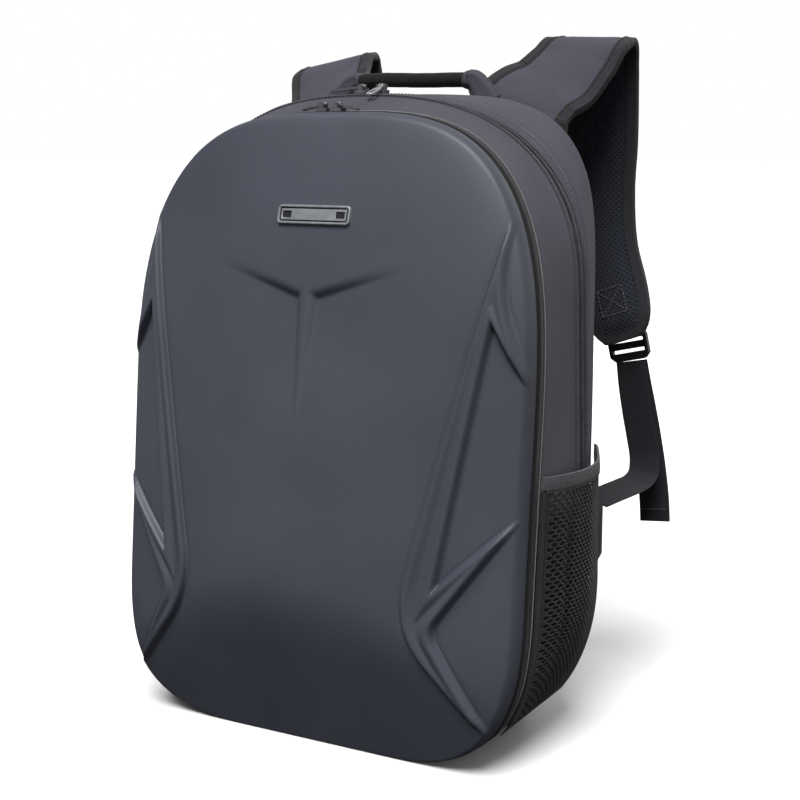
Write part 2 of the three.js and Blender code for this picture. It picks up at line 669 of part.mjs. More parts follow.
// Binding round the two long edges and the lower end of a strap
function strapBinding(frames) {
  const tall = STRAP.bindingTall / 2;
  const near = STRAP.seam;
  const far = STRAP.seam + STRAP.binding;
  const at = (frame, across, along, lift) => frame.middle.clone().addScaledVector(frame.across, across)
    .addScaledVector(frame.along, along).addScaledVector(frame.normal, lift);
  const edge = (frame, hand) => [near, far].map((out) => (
    [-tall, tall].map((lift) => at(frame, hand * (frame.half + out), 0, lift))
  ));
  const last = frames[frames.length - 1];
  const wrap = [-1, 1].map((hand) => [near, far].map((out) => (
    [-tall, tall].map((lift) => at(last, hand * last.half * STRAP.endWrap, out, lift))
  )));
  const rows = [...frames.map((f) => edge(f, -1)), ...wrap, ...frames.map((f) => edge(f, 1)).reverse()];
  return wallBetween(rows.map(([, outer]) => outer), rows.map(([inner]) => inner));
}

function strapPieces(label, side, drop, dip, wider) {
  const frames = strapFrames(side, drop, dip, wider);
  const top = STRAP.thick / 2;
  const liningTop = -top + STRAP.lining;
  const pad = frames.map((f) => padLoop(f, f.half, liningTop + STRAP.seam, top));
  const lining = frames.map((f) => frameBox(f, f.half, liningTop, -top));
  addPiece(`shoulder_strap_${label}`, skinLoops(pad), 'cloth');
  addPiece(`strap_lining_${label}`, skinLoops(lining), 'lining');
  addPiece(`strap_binding_${label}`, strapBinding(frames), 'binding');
}
strapPieces('right', 1, 0, 0, 0);
strapPieces('left', -1, STRAP.leftDrop, STRAP.leftDip, STRAP.leftWider);

// Webbing, swept as a flat band
function webbing(rows, side) {
  const middles = rows.map((r) => vec(side * r.x, r.y, r.z));
  const thin = WEBBING.thick / 2;
  const loops = rows.map((row, i) => {
    const after = middles[Math.min(rows.length - 1, i + 1)];
    const along = after.clone().sub(middles[Math.max(0, i - 1)]).normalize();
    const angle = radians(row.turn);
    const across = vec(side * Math.cos(angle), 0, -Math.sin(angle));
    across.addScaledVector(along, -across.dot(along)).normalize();
    const normal = along.cross(across).normalize();
    return frameBox({ middle: middles[i], across, normal }, WEBBING.width / 2, -thin, thin);
  });
  return skinLoops(loops);
}

// Ladder lock: a flat frame with two slots for the webbing
function ladderLock(side) {
  const w = LOCK.width / 2;
  const h = LOCK.height / 2;
  const ease = LOCK.corner;
  const frame = new THREE.Shape();
  frame.moveTo(-w + ease, -h).lineTo(w - ease, -h).lineTo(w, -h + ease).lineTo(w, h - ease);
  frame.lineTo(w - ease, h).lineTo(-w + ease, h).lineTo(-w, h - ease).lineTo(-w, -h + ease).closePath();
  for (const middle of [-1, 1]) {
    const z = middle * (LOCK.slot + LOCK.bar) / 2;
    const slotHalf = WEBBING.width / 2 + LOCK.slotPlay;
    const hole = new THREE.Path();
    hole.moveTo(-slotHalf, z - LOCK.slot / 2).lineTo(slotHalf, z - LOCK.slot / 2);
    hole.lineTo(slotHalf, z + LOCK.slot / 2).lineTo(-slotHalf, z + LOCK.slot / 2).closePath();
    frame.holes.push(hole);
  }
  const lock = new THREE.ExtrudeGeometry(frame, { depth: LOCK.thick, bevelEnabled: false });
  lock.translate(0, 0, -LOCK.thick / 2);
  lock.rotateX(Math.PI / 2);
  lock.rotateY(side * radians(LOCK.turn));
  const [x, y, z] = LOCK.middle;
  lock.translate(side * x, y, z);
  return lock;
}

// Cloth tab in the back seam that holds the lower webbing
function anchorTab(side) {
  const rows = [
    { x: TAB.root, y: BACK_PAD.front, z: TAB.rootHeight, half: TAB.rootHalf },
    { x: TAB.tip[0], y: TAB.tip[1], z: TAB.tipHeight, half: TAB.tipHalf },
  ];
  return skinLoops(rows.map(({ x, y, z, half }) => [
    vec(side * x, y, z - half), vec(side * x, y, z + half),
    vec(side * (x + TAB.thick), y, z + half), vec(side * (x + TAB.thick), y, z - half),
  ]));
}

for (const [label, side] of [['right', 1], ['left', -1]]) {
  addPiece(`lock_webbing_${label}`, webbing(LOCK_WEB_ROWS, side), 'webbing');
  addPiece(`ladder_lock_${label}`, ladderLock(side), 'plastic');
  addPiece(`lower_webbing_${label}`, webbing(LOWER_WEB_ROWS, side), 'webbing');
  addPiece(`webbing_tail_${label}`, webbing(TAIL_ROWS, side), 'webbing');
  addPiece(`anchor_tab_${label}`, anchorTab(side), 'cloth');
}

// Carrying handle between two sewn ends on the top of the back panel
function topHandle() {
  const half = HANDLE.span / 2;
  const path = new THREE.QuadraticBezierCurve3(
    vec(-half, HANDLE.depth, HANDLE.height - HANDLE.rise),
    vec(0, HANDLE.depth, HANDLE.height + HANDLE.rise),
    vec(half, HANDLE.depth, HANDLE.height - HANDLE.rise),
  );
  const round = new THREE.Shape().absellipse(0, 0, HANDLE.radius, HANDLE.radius, 0, 2 * Math.PI);
  return new THREE.ExtrudeGeometry(round, { steps: 8, curveSegments: 6, extrudePath: path });
}
addPiece('top_handle', topHandle(), 'darkCloth');
const padTop = sectionSampler(inset(SECTIONS.back, BACK_PAD.inset));
// Share of a half outline at a distance x from the middle of the top
const SHARE_STEP = 0.0005;
function shareAt(sampler, x) {
  let share = 0;
  while (sampler(share).x < x) share += SHARE_STEP;
  return share;
}
for (const [label, side] of [['right', 1], ['left', -1]]) {
  const block = new THREE.BoxGeometry(HANDLE_ANCHOR.wide, HANDLE_ANCHOR.deep, HANDLE_ANCHOR.tall);
  const near = HANDLE.span / 2 + 2 * GAP;
  const foot = padTop(shareAt(padTop, near)).z + GAP;
  block.translate(side * (near + HANDLE_ANCHOR.wide / 2), HANDLE.depth, foot + HANDLE_ANCHOR.tall / 2);
  addPiece(`handle_anchor_${label}`, block, 'cloth');
}

// Zip sliders with a cross pin, and the pulls that swing on it
function sliderGroup(spec) {
  const frontMiddle = FRONT_TAPE.chainStart + CHAIN.halfWidth;
  const sampler = spec.zip === 'main' ? mainChainAt : shifted(frontChainRing, frontMiddle);
  const seat = sampler(Math.sign(spec.x) * shareAt(sampler, Math.abs(spec.x)));
  const group = new THREE.Group();
  group.position.set(seat.x, seat.y, seat.z + GAP);
  group.rotation.z = radians(spec.heading);
  return group;
}

function sliderSolid() {
  const body = new THREE.BoxGeometry(SLIDER.long, SLIDER.wide, SLIDER.tall);
  body.translate(0, 0, SLIDER.tall / 2);
  const earTop = SLIDER.pinHeight + 2 * SLIDER.pinRadius;
  const earTall = earTop - SLIDER.tall / 2;
  const ears = [-1, 1].map((hand) => {
    const ear = new THREE.BoxGeometry(SLIDER.earLong, SLIDER.ear, earTall);
    ear.translate(0, hand * (SLIDER.earGap + SLIDER.ear) / 2, earTop - earTall / 2);
    return ear;
  });
  const pinLong = SLIDER.earGap + SLIDER.ear;
  const pin = new THREE.CylinderGeometry(SLIDER.pinRadius, SLIDER.pinRadius, pinLong, 10);
  pin.translate(0, 0, SLIDER.pinHeight);
  return joined([body, ...ears, pin]);
}

// Pull: an eye round the pin and a tab with a slot
function pullSolid(length, droop) {
  const eyeShape = new THREE.Shape().absarc(0, 0, PULL.eye, 0, 2 * Math.PI);
  eyeShape.holes.push(new THREE.Path().absarc(0, 0, PULL.hole, 0, 2 * Math.PI, true));
  const eye = new THREE.ExtrudeGeometry(eyeShape, {
    depth: PULL.eyeWide, bevelEnabled: false, curveSegments: 6,
  });
  eye.translate(0, 0, -PULL.eyeWide / 2);
  eye.rotateX(Math.PI / 2);
  const start = (PULL.eye + PULL.hole) / 2;
  const waist = PULL.eye + PULL.neck;
  const broad = waist + PULL.neck;
  const end = length - PULL.wide / 2;
  const slotFrom = end - PULL.slotLong;
  const tabShape = new THREE.Shape();
  tabShape.moveTo(start, -PULL.eyeWide / 2).lineTo(waist, -PULL.eyeWide / 2).lineTo(broad, -PULL.wide / 2);
  tabShape.absarc(end, 0, PULL.wide / 2, -Math.PI / 2, Math.PI / 2);
  tabShape.lineTo(broad, PULL.wide / 2).lineTo(waist, PULL.eyeWide / 2);
  tabShape.lineTo(start, PULL.eyeWide / 2).closePath();
  const slot = new THREE.Path();
  slot.moveTo(slotFrom, -PULL.slotWide / 2).lineTo(slotFrom, PULL.slotWide / 2);
  slot.lineTo(end, PULL.slotWide / 2).lineTo(end, -PULL.slotWide / 2).closePath();
  tabShape.holes.push(slot);
  const tab = new THREE.ExtrudeGeometry(tabShape, {
    depth: PULL.thick, bevelEnabled: false, curveSegments: 4,
  });
  tab.translate(0, 0, -PULL.thick / 2);
  const pull = joined([eye, tab]);
  pull.rotateY(radians(droop));
  pull.translate(0, 0, SLIDER.pinHeight);
  return pull;
}

for (const [label, spec] of Object.entries(SLIDERS)) {
  const group = sliderGroup(spec);
  const slider = new THREE.Mesh(sliderSolid(), finishes.metal);
  slider.name = `${label}_slider`;
  const pull = new THREE.Mesh(pullSolid(spec.length, spec.droop), finishes.metal);
  pull.name = `${label}_pull`;
  group.add(slider, pull);
  bag.add(group);
}

export default bag;
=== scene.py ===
import math

import bpy
import numpy as np
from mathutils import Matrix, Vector


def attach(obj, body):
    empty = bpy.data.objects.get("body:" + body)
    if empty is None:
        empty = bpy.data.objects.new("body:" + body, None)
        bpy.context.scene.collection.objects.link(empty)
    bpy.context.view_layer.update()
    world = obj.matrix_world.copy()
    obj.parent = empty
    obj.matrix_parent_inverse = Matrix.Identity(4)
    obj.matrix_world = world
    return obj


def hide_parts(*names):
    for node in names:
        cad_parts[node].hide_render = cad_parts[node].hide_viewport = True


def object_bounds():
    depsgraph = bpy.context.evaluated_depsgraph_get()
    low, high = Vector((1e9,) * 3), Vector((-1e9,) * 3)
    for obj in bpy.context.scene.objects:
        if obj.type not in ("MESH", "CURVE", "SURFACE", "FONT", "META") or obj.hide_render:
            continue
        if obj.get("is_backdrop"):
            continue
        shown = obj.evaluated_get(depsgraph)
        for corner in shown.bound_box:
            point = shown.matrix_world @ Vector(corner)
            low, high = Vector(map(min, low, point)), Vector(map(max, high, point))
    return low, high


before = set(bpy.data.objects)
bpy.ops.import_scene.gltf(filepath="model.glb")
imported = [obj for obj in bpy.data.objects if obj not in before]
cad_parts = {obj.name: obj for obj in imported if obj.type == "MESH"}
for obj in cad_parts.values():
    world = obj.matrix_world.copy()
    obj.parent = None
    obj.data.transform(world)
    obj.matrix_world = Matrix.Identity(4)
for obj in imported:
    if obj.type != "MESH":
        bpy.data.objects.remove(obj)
cad_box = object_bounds()
scene = bpy.context.scene

# Shared measures in millimetres: +X right seen from the front, front -Y, +Z up
MM = 0.001
BAG = "bag"
SIDES = {"right": 1, "left": -1}
MID_HEIGHT = 225.0
GAP = 0.3
CLOTH_UV = "cloth_mm"
TURN = 2.0 * math.pi

# Body sections from front to back
SECTIONS = {
    "rim": dict(depth=-50, lean=0.092, top=450, half=163.5, top_radius=219, top_power=3.15,
                floor=0, flat=50, base_radius=120, base_power=3.0),
    "zip": dict(depth=30, lean=-0.071, top=462.5, half=165.5, top_radius=135, top_power=2.4,
                floor=0, flat=70, base_radius=118, base_power=2.6),
    "rear": dict(depth=53, lean=0, top=464, half=163.5, top_radius=160, top_power=3.9,
                 floor=0, flat=70, base_radius=118, base_power=2.55),
    "back": dict(depth=74, lean=0, top=457, half=151, top_radius=152, top_power=3.6,
                 floor=7, flat=66, base_radius=110, base_power=2.5),
}
BASE_SPLIT = 0.786
CLOTH = 2.0

# Front shell
SHELL = dict(
    wall=3, centre=150, roll_width=4.0, roll_top=7, roll_side=13, roll_span=(300, 450),
    crown=27.5, crown_low=6, crown_power=0.7, crown_span=(120, 320),
    under_start=4, under_slope=0.39, under_blend=8,
    band_rise=4.2, band_round=3.2, band_fade=15, bend_round=27, dish=2.6, dish_from=3.5, dish_to=11,
    floor=1.8, floor_fade=(0.2, 2.4), crease=0.9, crease_width=1.3, wall_round=2.8, corner_round=10,
    y_drop=4.4, y_round=8.5, rise_power=2.2)
BAND_LINE = dict(top=(143.4, 376.8), bend=(83.4, 107), end=(145.9, 33.3))
PANELS = [
    [(147, 376), (144, 331.7), (163, 279)],
    [(163, 268), (140, 308.8), (113.3, 137.1), (163.3, 184.8)],
    [(163.3, 181.7), (109.8, 105.6), (148.4, 35.6)],
]
Y_MARK = dict(corner=(8.3, 322.5), tip=(88.5, 347.7), stem_end=(0, 208))
BADGE = dict(width=59, height=13.5, corner=3, middle=379, lift=0.4)
BADGE_FIELD = dict(across=[-26.6, -25.4, -18.2, 18.2, 25.4, 26.6], tall=[-4.0, -2.4, 2.4, 4.0],
                   top=1.55, foot=0.5)

# Section of the plate's lip: distance inside the outline, height over the shell
BADGE_LIP = [
    (0.0, -1.2), (0.0, 1.5), (0.15, 1.85), (0.45, 2.0), (1.3, 2.0), (1.6, 1.85), (1.75, 1.5), (1.75, 0.4),
]

# Zips
FRONT_TAPE = dict(width=8.6, rib=1.35, rib_height=0.16, ribs_from=3.0, wall=0.4, coil=6.6, seam=11.5)
# Section of the front tape: distance behind the rim, distance inside the outline
FRONT_TAPE_LINE = [
    (0.3, 2.0), (2.4, 2.0), (3.3, 0.7), (4.0, -0.25), (6.6, -0.4), (9.6, -0.45), (12.2, -0.45),
]
MAIN_TAPE = dict(half=5.7, inset=1.2, thick=1.0)
CHAIN = dict(half=2.2, thick=1.6, pitch=1.55, under=0.5, slant=0.22, spread=0.85, sunk=0.75,
             turn=(1.45, 0.46, 0.72))
FRONT_COIL = dict(proud=0.45, slant=0.25, turn=(2.3, 0.42, 0.3))

# Pockets
POCKET = dict(wall=1.6, mouth=0.511, foot=0.782, front=0.03, zip_share=0.8, bulge=13, seat=1.1, band=0.058,
              full_from=0.55, foot_full=0.85, belly=0.7, levelling=0.6, rear_drop=0.012,
              hem=0.022, hem_end=0.95, hem_half=0.9)
ELASTIC = dict(swell=0.5, rib=0.18, ribs=260, front=0.7, behind=-1.2)
PLEAT = dict(place=0.27, depth=2.6, width=0.035, fade=(0.05, 0.25))
GATHER = dict(height=0.9, waves=34, phase=1.2, fade=(0.72, 1.0))

# Shoulder strap centre line: x, y, z, width, degrees the width dips below +X
STRAP_ROWS = np.array([
    (83, 93.1, 420, 70, 20), (83.5, 93.2, 438, 71, 23), (85, 95.5, 454, 71, 24), (91, 107, 464.5, 68, 23),
    (99, 121, 472, 66, 20), (107.5, 135, 487, 65, 10), (114, 149, 501.5, 64, 3), (116, 162, 504, 61, 2),
    (115.5, 172, 488, 57, 0), (115.5, 176.5, 465, 55, 0), (116.5, 177.5, 430, 53, 0),
    (116.5, 175.5, 390, 52, -2), (122, 171, 345, 52, -8), (135, 166, 306, 51, -13), (142, 163, 286, 44, -15),
    (146, 161.5, 275, 30, -16),
], float)
STRAP = dict(edge_out=2.4, edge_thick=2.3, middle_thick=4.3, slope=15, bound=9.0,
             left_drop=12, left_dip=8, left_wider=8, drop_from=440, drop_to=500)
LINING = dict(margin=3.0, stand=0.6, swell=2.2, thick=1.2)
BINDING_REACH = np.array([STRAP["bound"], 6.5, 4.0, 2.0, 0.6, 0.0])
BOX_STITCH = dict(half=10.5, from_end=32.0, front_lift=2.6, behind_lift=3.0)

# Webbing: x, y, z, degrees the width is turned out of +X toward -Z
LOCK_WEB_ROWS = np.array([
    (134.2, 172.4, 304, -13), (137.2, 171.2, 294, -13), (139.8, 171.2, 286.5, -13),
    (140.9, 172.2, 282.7, -13),
], float)
LOWER_WEB_ROWS = np.array([
    (147.6, 171.2, 257.2, -13), (149.6, 170.6, 243, -12), (153.8, 170, 220, -9), (158.9, 169.5, 197, -6),
    (162.4, 168, 181, -3), (163.8, 162.8, 171, 2), (164, 152, 166.8, 8), (163, 136, 165.6, 13),
    (160.5, 117, 165.2, 14), (157, 101, 164.4, 13), (153, 86.4, 163, 12),
], float)
TAIL_ROWS = np.array([
    (147.7, 173.7, 257.6, -13), (150.4, 174.6, 243, -11), (155.3, 175.5, 220, -8), (160.2, 176, 196, -5),
    (165, 176, 170, -2), (168.6, 175, 147, 1), (170.2, 174.4, 129.5, 5),
], float)
WEBBING = dict(width=25, thick=1.6)
TAB = dict(root=151.4, tip=(159, 84.1), root_half=34, tip_half=23, thick=2, root_height=138, tip_height=147,
           belly=1.2)

BACK_PAD = dict(front=74.35, shoulder=80, face=85.2, inset=1, edge_round=10, centre=232.0)
BACK_CHANNELS = dict(side=34.0, levels=(120.0, 215.0, 310.0), middle=60.0, depth=4.6, width=4.2, sewn=6.0)
HANDLE = dict(span=96, radius=5.8, height=476, rise=2, depth=80, tucked=3.0, sway=0.7, lumps=0.035, seam=0.1)
# Handle sleeve: centre line, half height and half depth along it
SLEEVE_PATH = np.array([(45.5, 80.0, 475.0), (53.0, 79.6, 473.5), (60.0, 77.5, 465.5), (66.0, 74.8, 456.0)])
SLEEVE_AT = np.array([0.0, 0.35, 0.7, 1.0])
SLEEVE_SIZE_AT = [0, 0.3, 0.7, 1.0]
SLEEVE_TALL = [6.6, 7.6, 9.5, 12.0]
SLEEVE_DEEP = [6.8, 5.2, 3.6, 2.6]

# Fill of the padded pieces: inner pressure and the largest swell
STRAP_FILL = dict(pressure=4.0, cap=3.0)
BACK_FILL = dict(pressure=3.0, cap=1.6)
HANDLE_FILL = dict(pressure=2.0, cap=0.8)


# Small helpers
def smooth(start, end, value):
    s = np.clip((value - start) / (end - start), 0.0, 1.0)
    return s * s * (3.0 - 2.0 * s)


def unit(v):
    return v / np.maximum(np.linalg.norm(v, axis=-1, keepdims=True), 1e-9)


def lerp(a, b, s):
    return a + (b - a) * s


def spline(knots, values, at):
    """Smooth curve through the values, with averaged slopes at the knots."""
    slopes = np.gradient(values, knots, axis=0)
    i = np.clip(np.searchsorted(knots, at, side="right") - 1, 0, len(knots) - 2)
    h = (knots[i + 1] - knots[i])[:, None]
    t = (at - knots[i])[:, None] / h
    start = (2 * t**3 - 3 * t**2 + 1) * values[i] + (t**3 - 2 * t**2 + t) * h * slopes[i]
    end = (3 * t**2 - 2 * t**3) * values[i + 1] + (t**3 - t**2) * h * slopes[i + 1]
    return start + end


def look_up(at, run, table):
    """Points of a table at distances along its run."""
    return np.stack([np.interp(at, run, table[:, i]) for i in range(3)], -1)


def path_length(points):
    steps = np.linalg.norm(np.diff(points, axis=0), axis=1)
    return np.concatenate([[0.0], np.cumsum(steps)])


def square_to(along, way):
    """Direction turned square to a path."""
    return unit(way - along * np.sum(way * along, 1, keepdims=True))


def ribbon(rows, side, count):
    """Stations of a flat band along a centre line: distance, row of values, middle, along and across."""
    knots = path_length(rows[:, :3])
    s = np.linspace(0.0, knots[-1], count)
    table = spline(knots, rows, s)
    middle = table[:, :3] * [side, 1, 1]
    along = unit(np.gradient(middle, s, axis=0))
    dip = np.radians(table[:, -1])
    across = np.stack([side * np.cos(dip), 0 * dip, -np.sin(dip)], 1)
    return s, table, middle, along, square_to(along, across)


def ripples(seed, *coords, scale, octaves=4):
    """Smooth irregular waves between about -1 and 1 over the given coordinates in millimetres."""
    draw = np.random.default_rng(seed)
    total = 0.0
    for octave in range(octaves):
        turn = draw.uniform(0, TURN)
        phase = draw.uniform(0, TURN)
        weights = [math.cos(turn), math.sin(turn), draw.uniform(-0.6, 0.6)][: len(coords)]
        wave = sum(w * c for w, c in zip(weights, coords)) * TURN / (scale / (1 + 0.7 * octave))
        total = total + np.sin(wave + phase) / (1 + octave)
    return total / 2.0


# Mesh building
class Shape:
    """Points in millimetres with their faces and flat cloth coordinates."""

    def __init__(self):
        self.points, self.faces, self.uv = [], [], []
        self.count = 0

    def add(self, points, faces, uv=None):
        points = np.asarray(points, float).reshape(-1, 3)
        self.points.append(points)
        self.faces += [np.asarray(block) + self.count for block in faces]
        self.uv.append(np.zeros((len(points), 2)) if uv is None else np.asarray(uv, float).reshape(-1, 2))
        self.count += len(points)
        return self

    def build(self, name, sharp=None):
        mesh = bpy.data.meshes.new(name)
        faces = [face for block in self.faces for face in block.tolist()]
        mesh.from_pydata((np.concatenate(self.points) * MM).tolist(), [], faces)
        index = np.empty(len(mesh.loops), np.int32)
        mesh.loops.foreach_get("vertex_index", index)
        layer = mesh.uv_layers.new(name=CLOTH_UV)
        layer.uv.foreach_set("vector", np.concatenate(self.uv)[index].astype(np.float32).ravel())
        mesh.shade_smooth()
        if sharp is not None:
            mesh.set_sharp_from_angle(angle=math.radians(sharp))
        obj = bpy.data.objects.new(name, mesh)
        scene.collection.objects.link(obj)
        return obj


def grid_faces(index, closed_rows=False, closed_columns=False):
    if closed_rows:
        index = np.concatenate([index, index[:1]])
    if closed_columns:
        index = np.concatenate([index, index[:, :1]], axis=1)
    corners = [index[:-1, :-1], index[:-1, 1:], index[1:, 1:], index[1:, :-1]]
    return np.stack(corners, -1).reshape(-1, 4)


def outward(points, faces):
    """Faces turned so that the closed form they bound has a positive volume."""
    flat = points.reshape(-1, 3)
    volume = 0.0
    for block in faces:
        for i in range(1, block.shape[1] - 1):
            a, b, c = flat[block[:, 0]], flat[block[:, i]], flat[block[:, i + 1]]
            volume += np.einsum("ij,ij->", a, np.cross(b, c))
    return faces if volume > 0 else [block[:, ::-1] for block in faces]


def grid_normals(grid):
    return unit(np.cross(np.gradient(grid, axis=0), np.gradient(grid, axis=1)))


def grid_uv(grid):
    """Flat coordinates of a grid: run along the rows and across the columns."""
    along = np.linalg.norm(np.diff(grid, axis=0), axis=2).mean(axis=1)
    across = np.linalg.norm(np.diff(grid, axis=1), axis=2).mean(axis=0)
    u = np.concatenate([[0.0], np.cumsum(along)])
    v = np.concatenate([[0.0], np.cumsum(across)])
    return np.stack(np.meshgrid(u, v, indexing="ij"), -1)


def wall(outer, inner, closed=False, uv=None):
    """Closed cloth wall between two grids of the same size."""
    count = outer.shape[0] * outer.shape[1]
    index = np.arange(count).reshape(outer.shape[:2])
    faces = [grid_faces(index, closed), grid_faces(index[:, ::-1] + count, closed)]
    rims = [index[:, 0], index[::-1, -1]]
    if not closed:
        rims += [index[0, ::-1], index[-1]]
    for rim in rims:
        faces.append(grid_faces(np.stack([rim + count, rim], 1), closed))
    points = np.concatenate([outer.reshape(-1, 3), inner.reshape(-1, 3)])
    uv = grid_uv(outer) if uv is None else uv
    return points, outward(points, faces), np.concatenate([uv.reshape(-1, 2)] * 2)


def loft(loops, uv=None, fans=False):
    """Closed form over a row of loops, with ends capped by rungs or by fans round a middle point."""
    rows, count = loops.shape[:2]
    index = np.arange(rows * count).reshape(rows, count)
    faces = [grid_faces(index, closed_columns=True)]
    points = loops.reshape(-1, 3)
    uv = (grid_uv(loops) if uv is None else uv).reshape(-1, 2)
    if fans:
        for end, hub in ((index[0, ::-1], rows * count), (index[-1], rows * count + 1)):
            faces.append(np.stack([end, np.roll(end, -1), np.full(count, hub)], 1))
            points = np.concatenate([points, points[end].mean(axis=0)[None]])
            uv = np.concatenate([uv, uv[end].mean(axis=0)[None]])
    else:
        for end in (index[0, ::-1], index[-1]):
            pairs = np.stack([end, end[::-1]], 1)[: count // 2]
            corners = [pairs[:-1, :1], pairs[1:, :1], pairs[1:, 1:], pairs[:-1, 1:]]
            faces.append(np.concatenate(corners, axis=1))
    return points, outward(points, faces), uv


BEAD_STATIONS = np.array([-1.0, -0.72, 0.72, 1.0])
BEAD_RADII = np.array([0.45, 1.0, 1.0, 0.45])
BEAD_SIDES = 6


def beads(centres, along, across, size):
    """Many small rounded bars in one mesh. size: half length, half width, half height."""
    angle = np.arange(BEAD_SIDES) * TURN / BEAD_SIDES
    t = np.repeat(BEAD_STATIONS, BEAD_SIDES) * size[0]
    w = np.outer(BEAD_RADII, np.cos(angle)).ravel() * size[1]
    h = np.outer(BEAD_RADII, np.sin(angle)).ravel() * size[2]
    along = unit(along)
    normal = unit(np.cross(along, across))
    across = np.cross(normal, along)
    spans = zip((along, across, normal), (t, w, h))
    points = centres[:, None, :] + sum(axis[:, None, :] * s[None, :, None] for axis, s in spans)
    each = len(t)
    index = np.arange(each).reshape(len(BEAD_STATIONS), BEAD_SIDES)
    start = (np.arange(len(centres)) * each)[:, None, None]
    blocks = [grid_faces(index, closed_columns=True)[:, ::-1], index[:1], index[-1:, ::-1]]
    faces = [(block[None] + start).reshape(-1, block.shape[1]) for block in blocks]
    return points.reshape(-1, 3), outward(points, faces), np.tile(np.stack([t, w], 1), (len(centres), 1))


def spaced(path, normals, pitch):
    """Points, directions and normals at even steps along a path."""
    run = path_length(path)
    stops = np.arange(pitch / 2, run[-1], pitch)
    ways = np.gradient(path, run, axis=0)
    return look_up(stops, run, path), unit(look_up(stops, run, ways)), unit(look_up(stops, run, normals))


THREAD = 0.42


def stitches(shape, path, normals, pitch=3.0, length=2.1, lift=0.1):
    """Row of thread stitches along a path, lying on the cloth."""
    at, way, up = spaced(path, normals, pitch)
    size = (length / 2, THREAD, THREAD)
    shape.add(*beads(at + up * lift, way, np.cross(up, way), size))
    return shape


# Materials
def srgb(*rgb):
    c = np.asarray(rgb, float) / 255.0
    linear = np.where(c <= 0.04045, c / 12.92, ((c + 0.055) / 1.055) ** 2.4)
    return (*linear.tolist(), 1.0)


class Nodes:
    """Node tree of a finish or of the sky, with short calls."""

    def __init__(self, owner):
        owner.use_nodes = True
        self.tree = owner.node_tree

    def node(self, kind, inputs, **settings):
        node = self.tree.nodes.new(kind)
        for name, value in settings.items():
            setattr(node, name, value)
        for name, value in inputs.items():
            if isinstance(value, bpy.types.NodeSocket):
                self.tree.links.new(value, node.inputs[name])
            else:
                node.inputs[name].default_value = value
        return node

    def math(self, operation, a, b=0.0):
        return self.node("ShaderNodeMath", {0: a, 1: b}, operation=operation).outputs[0]

    def ramp(self, factor, stops):
        node = self.node("ShaderNodeValToRGB", {"Fac": factor})
        elements = node.color_ramp.elements
        while len(elements) < len(stops):
            elements.new(0.5)
        for element, (place, tint) in zip(elements, stops):
            element.position = place
            element.color = tint
        return node.outputs["Color"]


class Look(Nodes):
    """Finish with short calls for the textures that the surfaces share."""

    def __init__(self, name, **shader):
        self.material = bpy.data.materials.new(name)
        super().__init__(self.material)
        self.shader = self.tree.nodes["Principled BSDF"]
        for socket, value in shader.items():
            self.shader.inputs[socket.replace("_", " ")].default_value = value

    def part_range(self, value, low, high):
        inputs = {"Value": value, "From Min": low, "From Max": high}
        return self.node("ShaderNodeMapRange", inputs).outputs["Result"]

    def cloth_mm(self):
        return self.node("ShaderNodeUVMap", {}, uv_map=CLOTH_UV).outputs["UV"]

    def object_mm(self):
        place = self.node("ShaderNodeTexCoord", {}).outputs["Object"]
        return self.stretched(place, (1000.0, 1000.0, 1000.0))

    def stretched(self, vector, scale):
        return self.node("ShaderNodeMapping", {"Vector": vector, "Scale": scale}).outputs["Vector"]

    def noise(self, vector, scale, detail=2.0):
        inputs = {"Vector": vector, "Scale": scale, "Detail": detail}
        return self.node("ShaderNodeTexNoise", inputs).outputs["Fac"]

    def wave(self, vector, axis, pitch):
        """Even ridges from 0 to 1 across one axis, pitch in millimetres."""
        parts = self.node("ShaderNodeSeparateXYZ", {"Vector": vector})
        turned = self.math("SINE", self.math("MULTIPLY", parts.outputs[axis], TURN / pitch))
        return self.math("ADD", self.math("MULTIPLY", turned, 0.5), 0.5)

    def weave(self, vector, pitch):
        """Over and under of a plain weave, from 0 to 1."""
        first = self.math("SUBTRACT", self.wave(vector, 0, pitch), 0.5)
        second = self.math("SUBTRACT", self.wave(vector, 1, pitch), 0.5)
        return self.math("ADD", self.math("MULTIPLY", self.math("MULTIPLY", first, second), 2.0), 0.5)

    def sum(self, *weighted):
        total = None
        for socket, weight in weighted:
            part = self.math("MULTIPLY", socket, weight)
            total = part if total is None else self.math("ADD", total, part)
        return total

    def colour(self, factor, *stops):
        self.tree.links.new(self.ramp(factor, stops), self.shader.inputs["Base Color"])
        return self

    def bump(self, height, depth_mm):
        inputs = {"Height": height, "Distance": depth_mm * MM, "Strength": 1.0}
        node = self.node("ShaderNodeBump", inputs)
        self.tree.links.new(node.outputs["Normal"], self.shader.inputs["Normal"])
        return self

    def rough(self, factor, low, high):
        inputs = {"Value": factor, "To Min": low, "To Max": high}
        node = self.node("ShaderNodeMapRange", inputs)
        self.tree.links.new(node.outputs["Result"], self.shader.inputs["Roughness"])
        return self


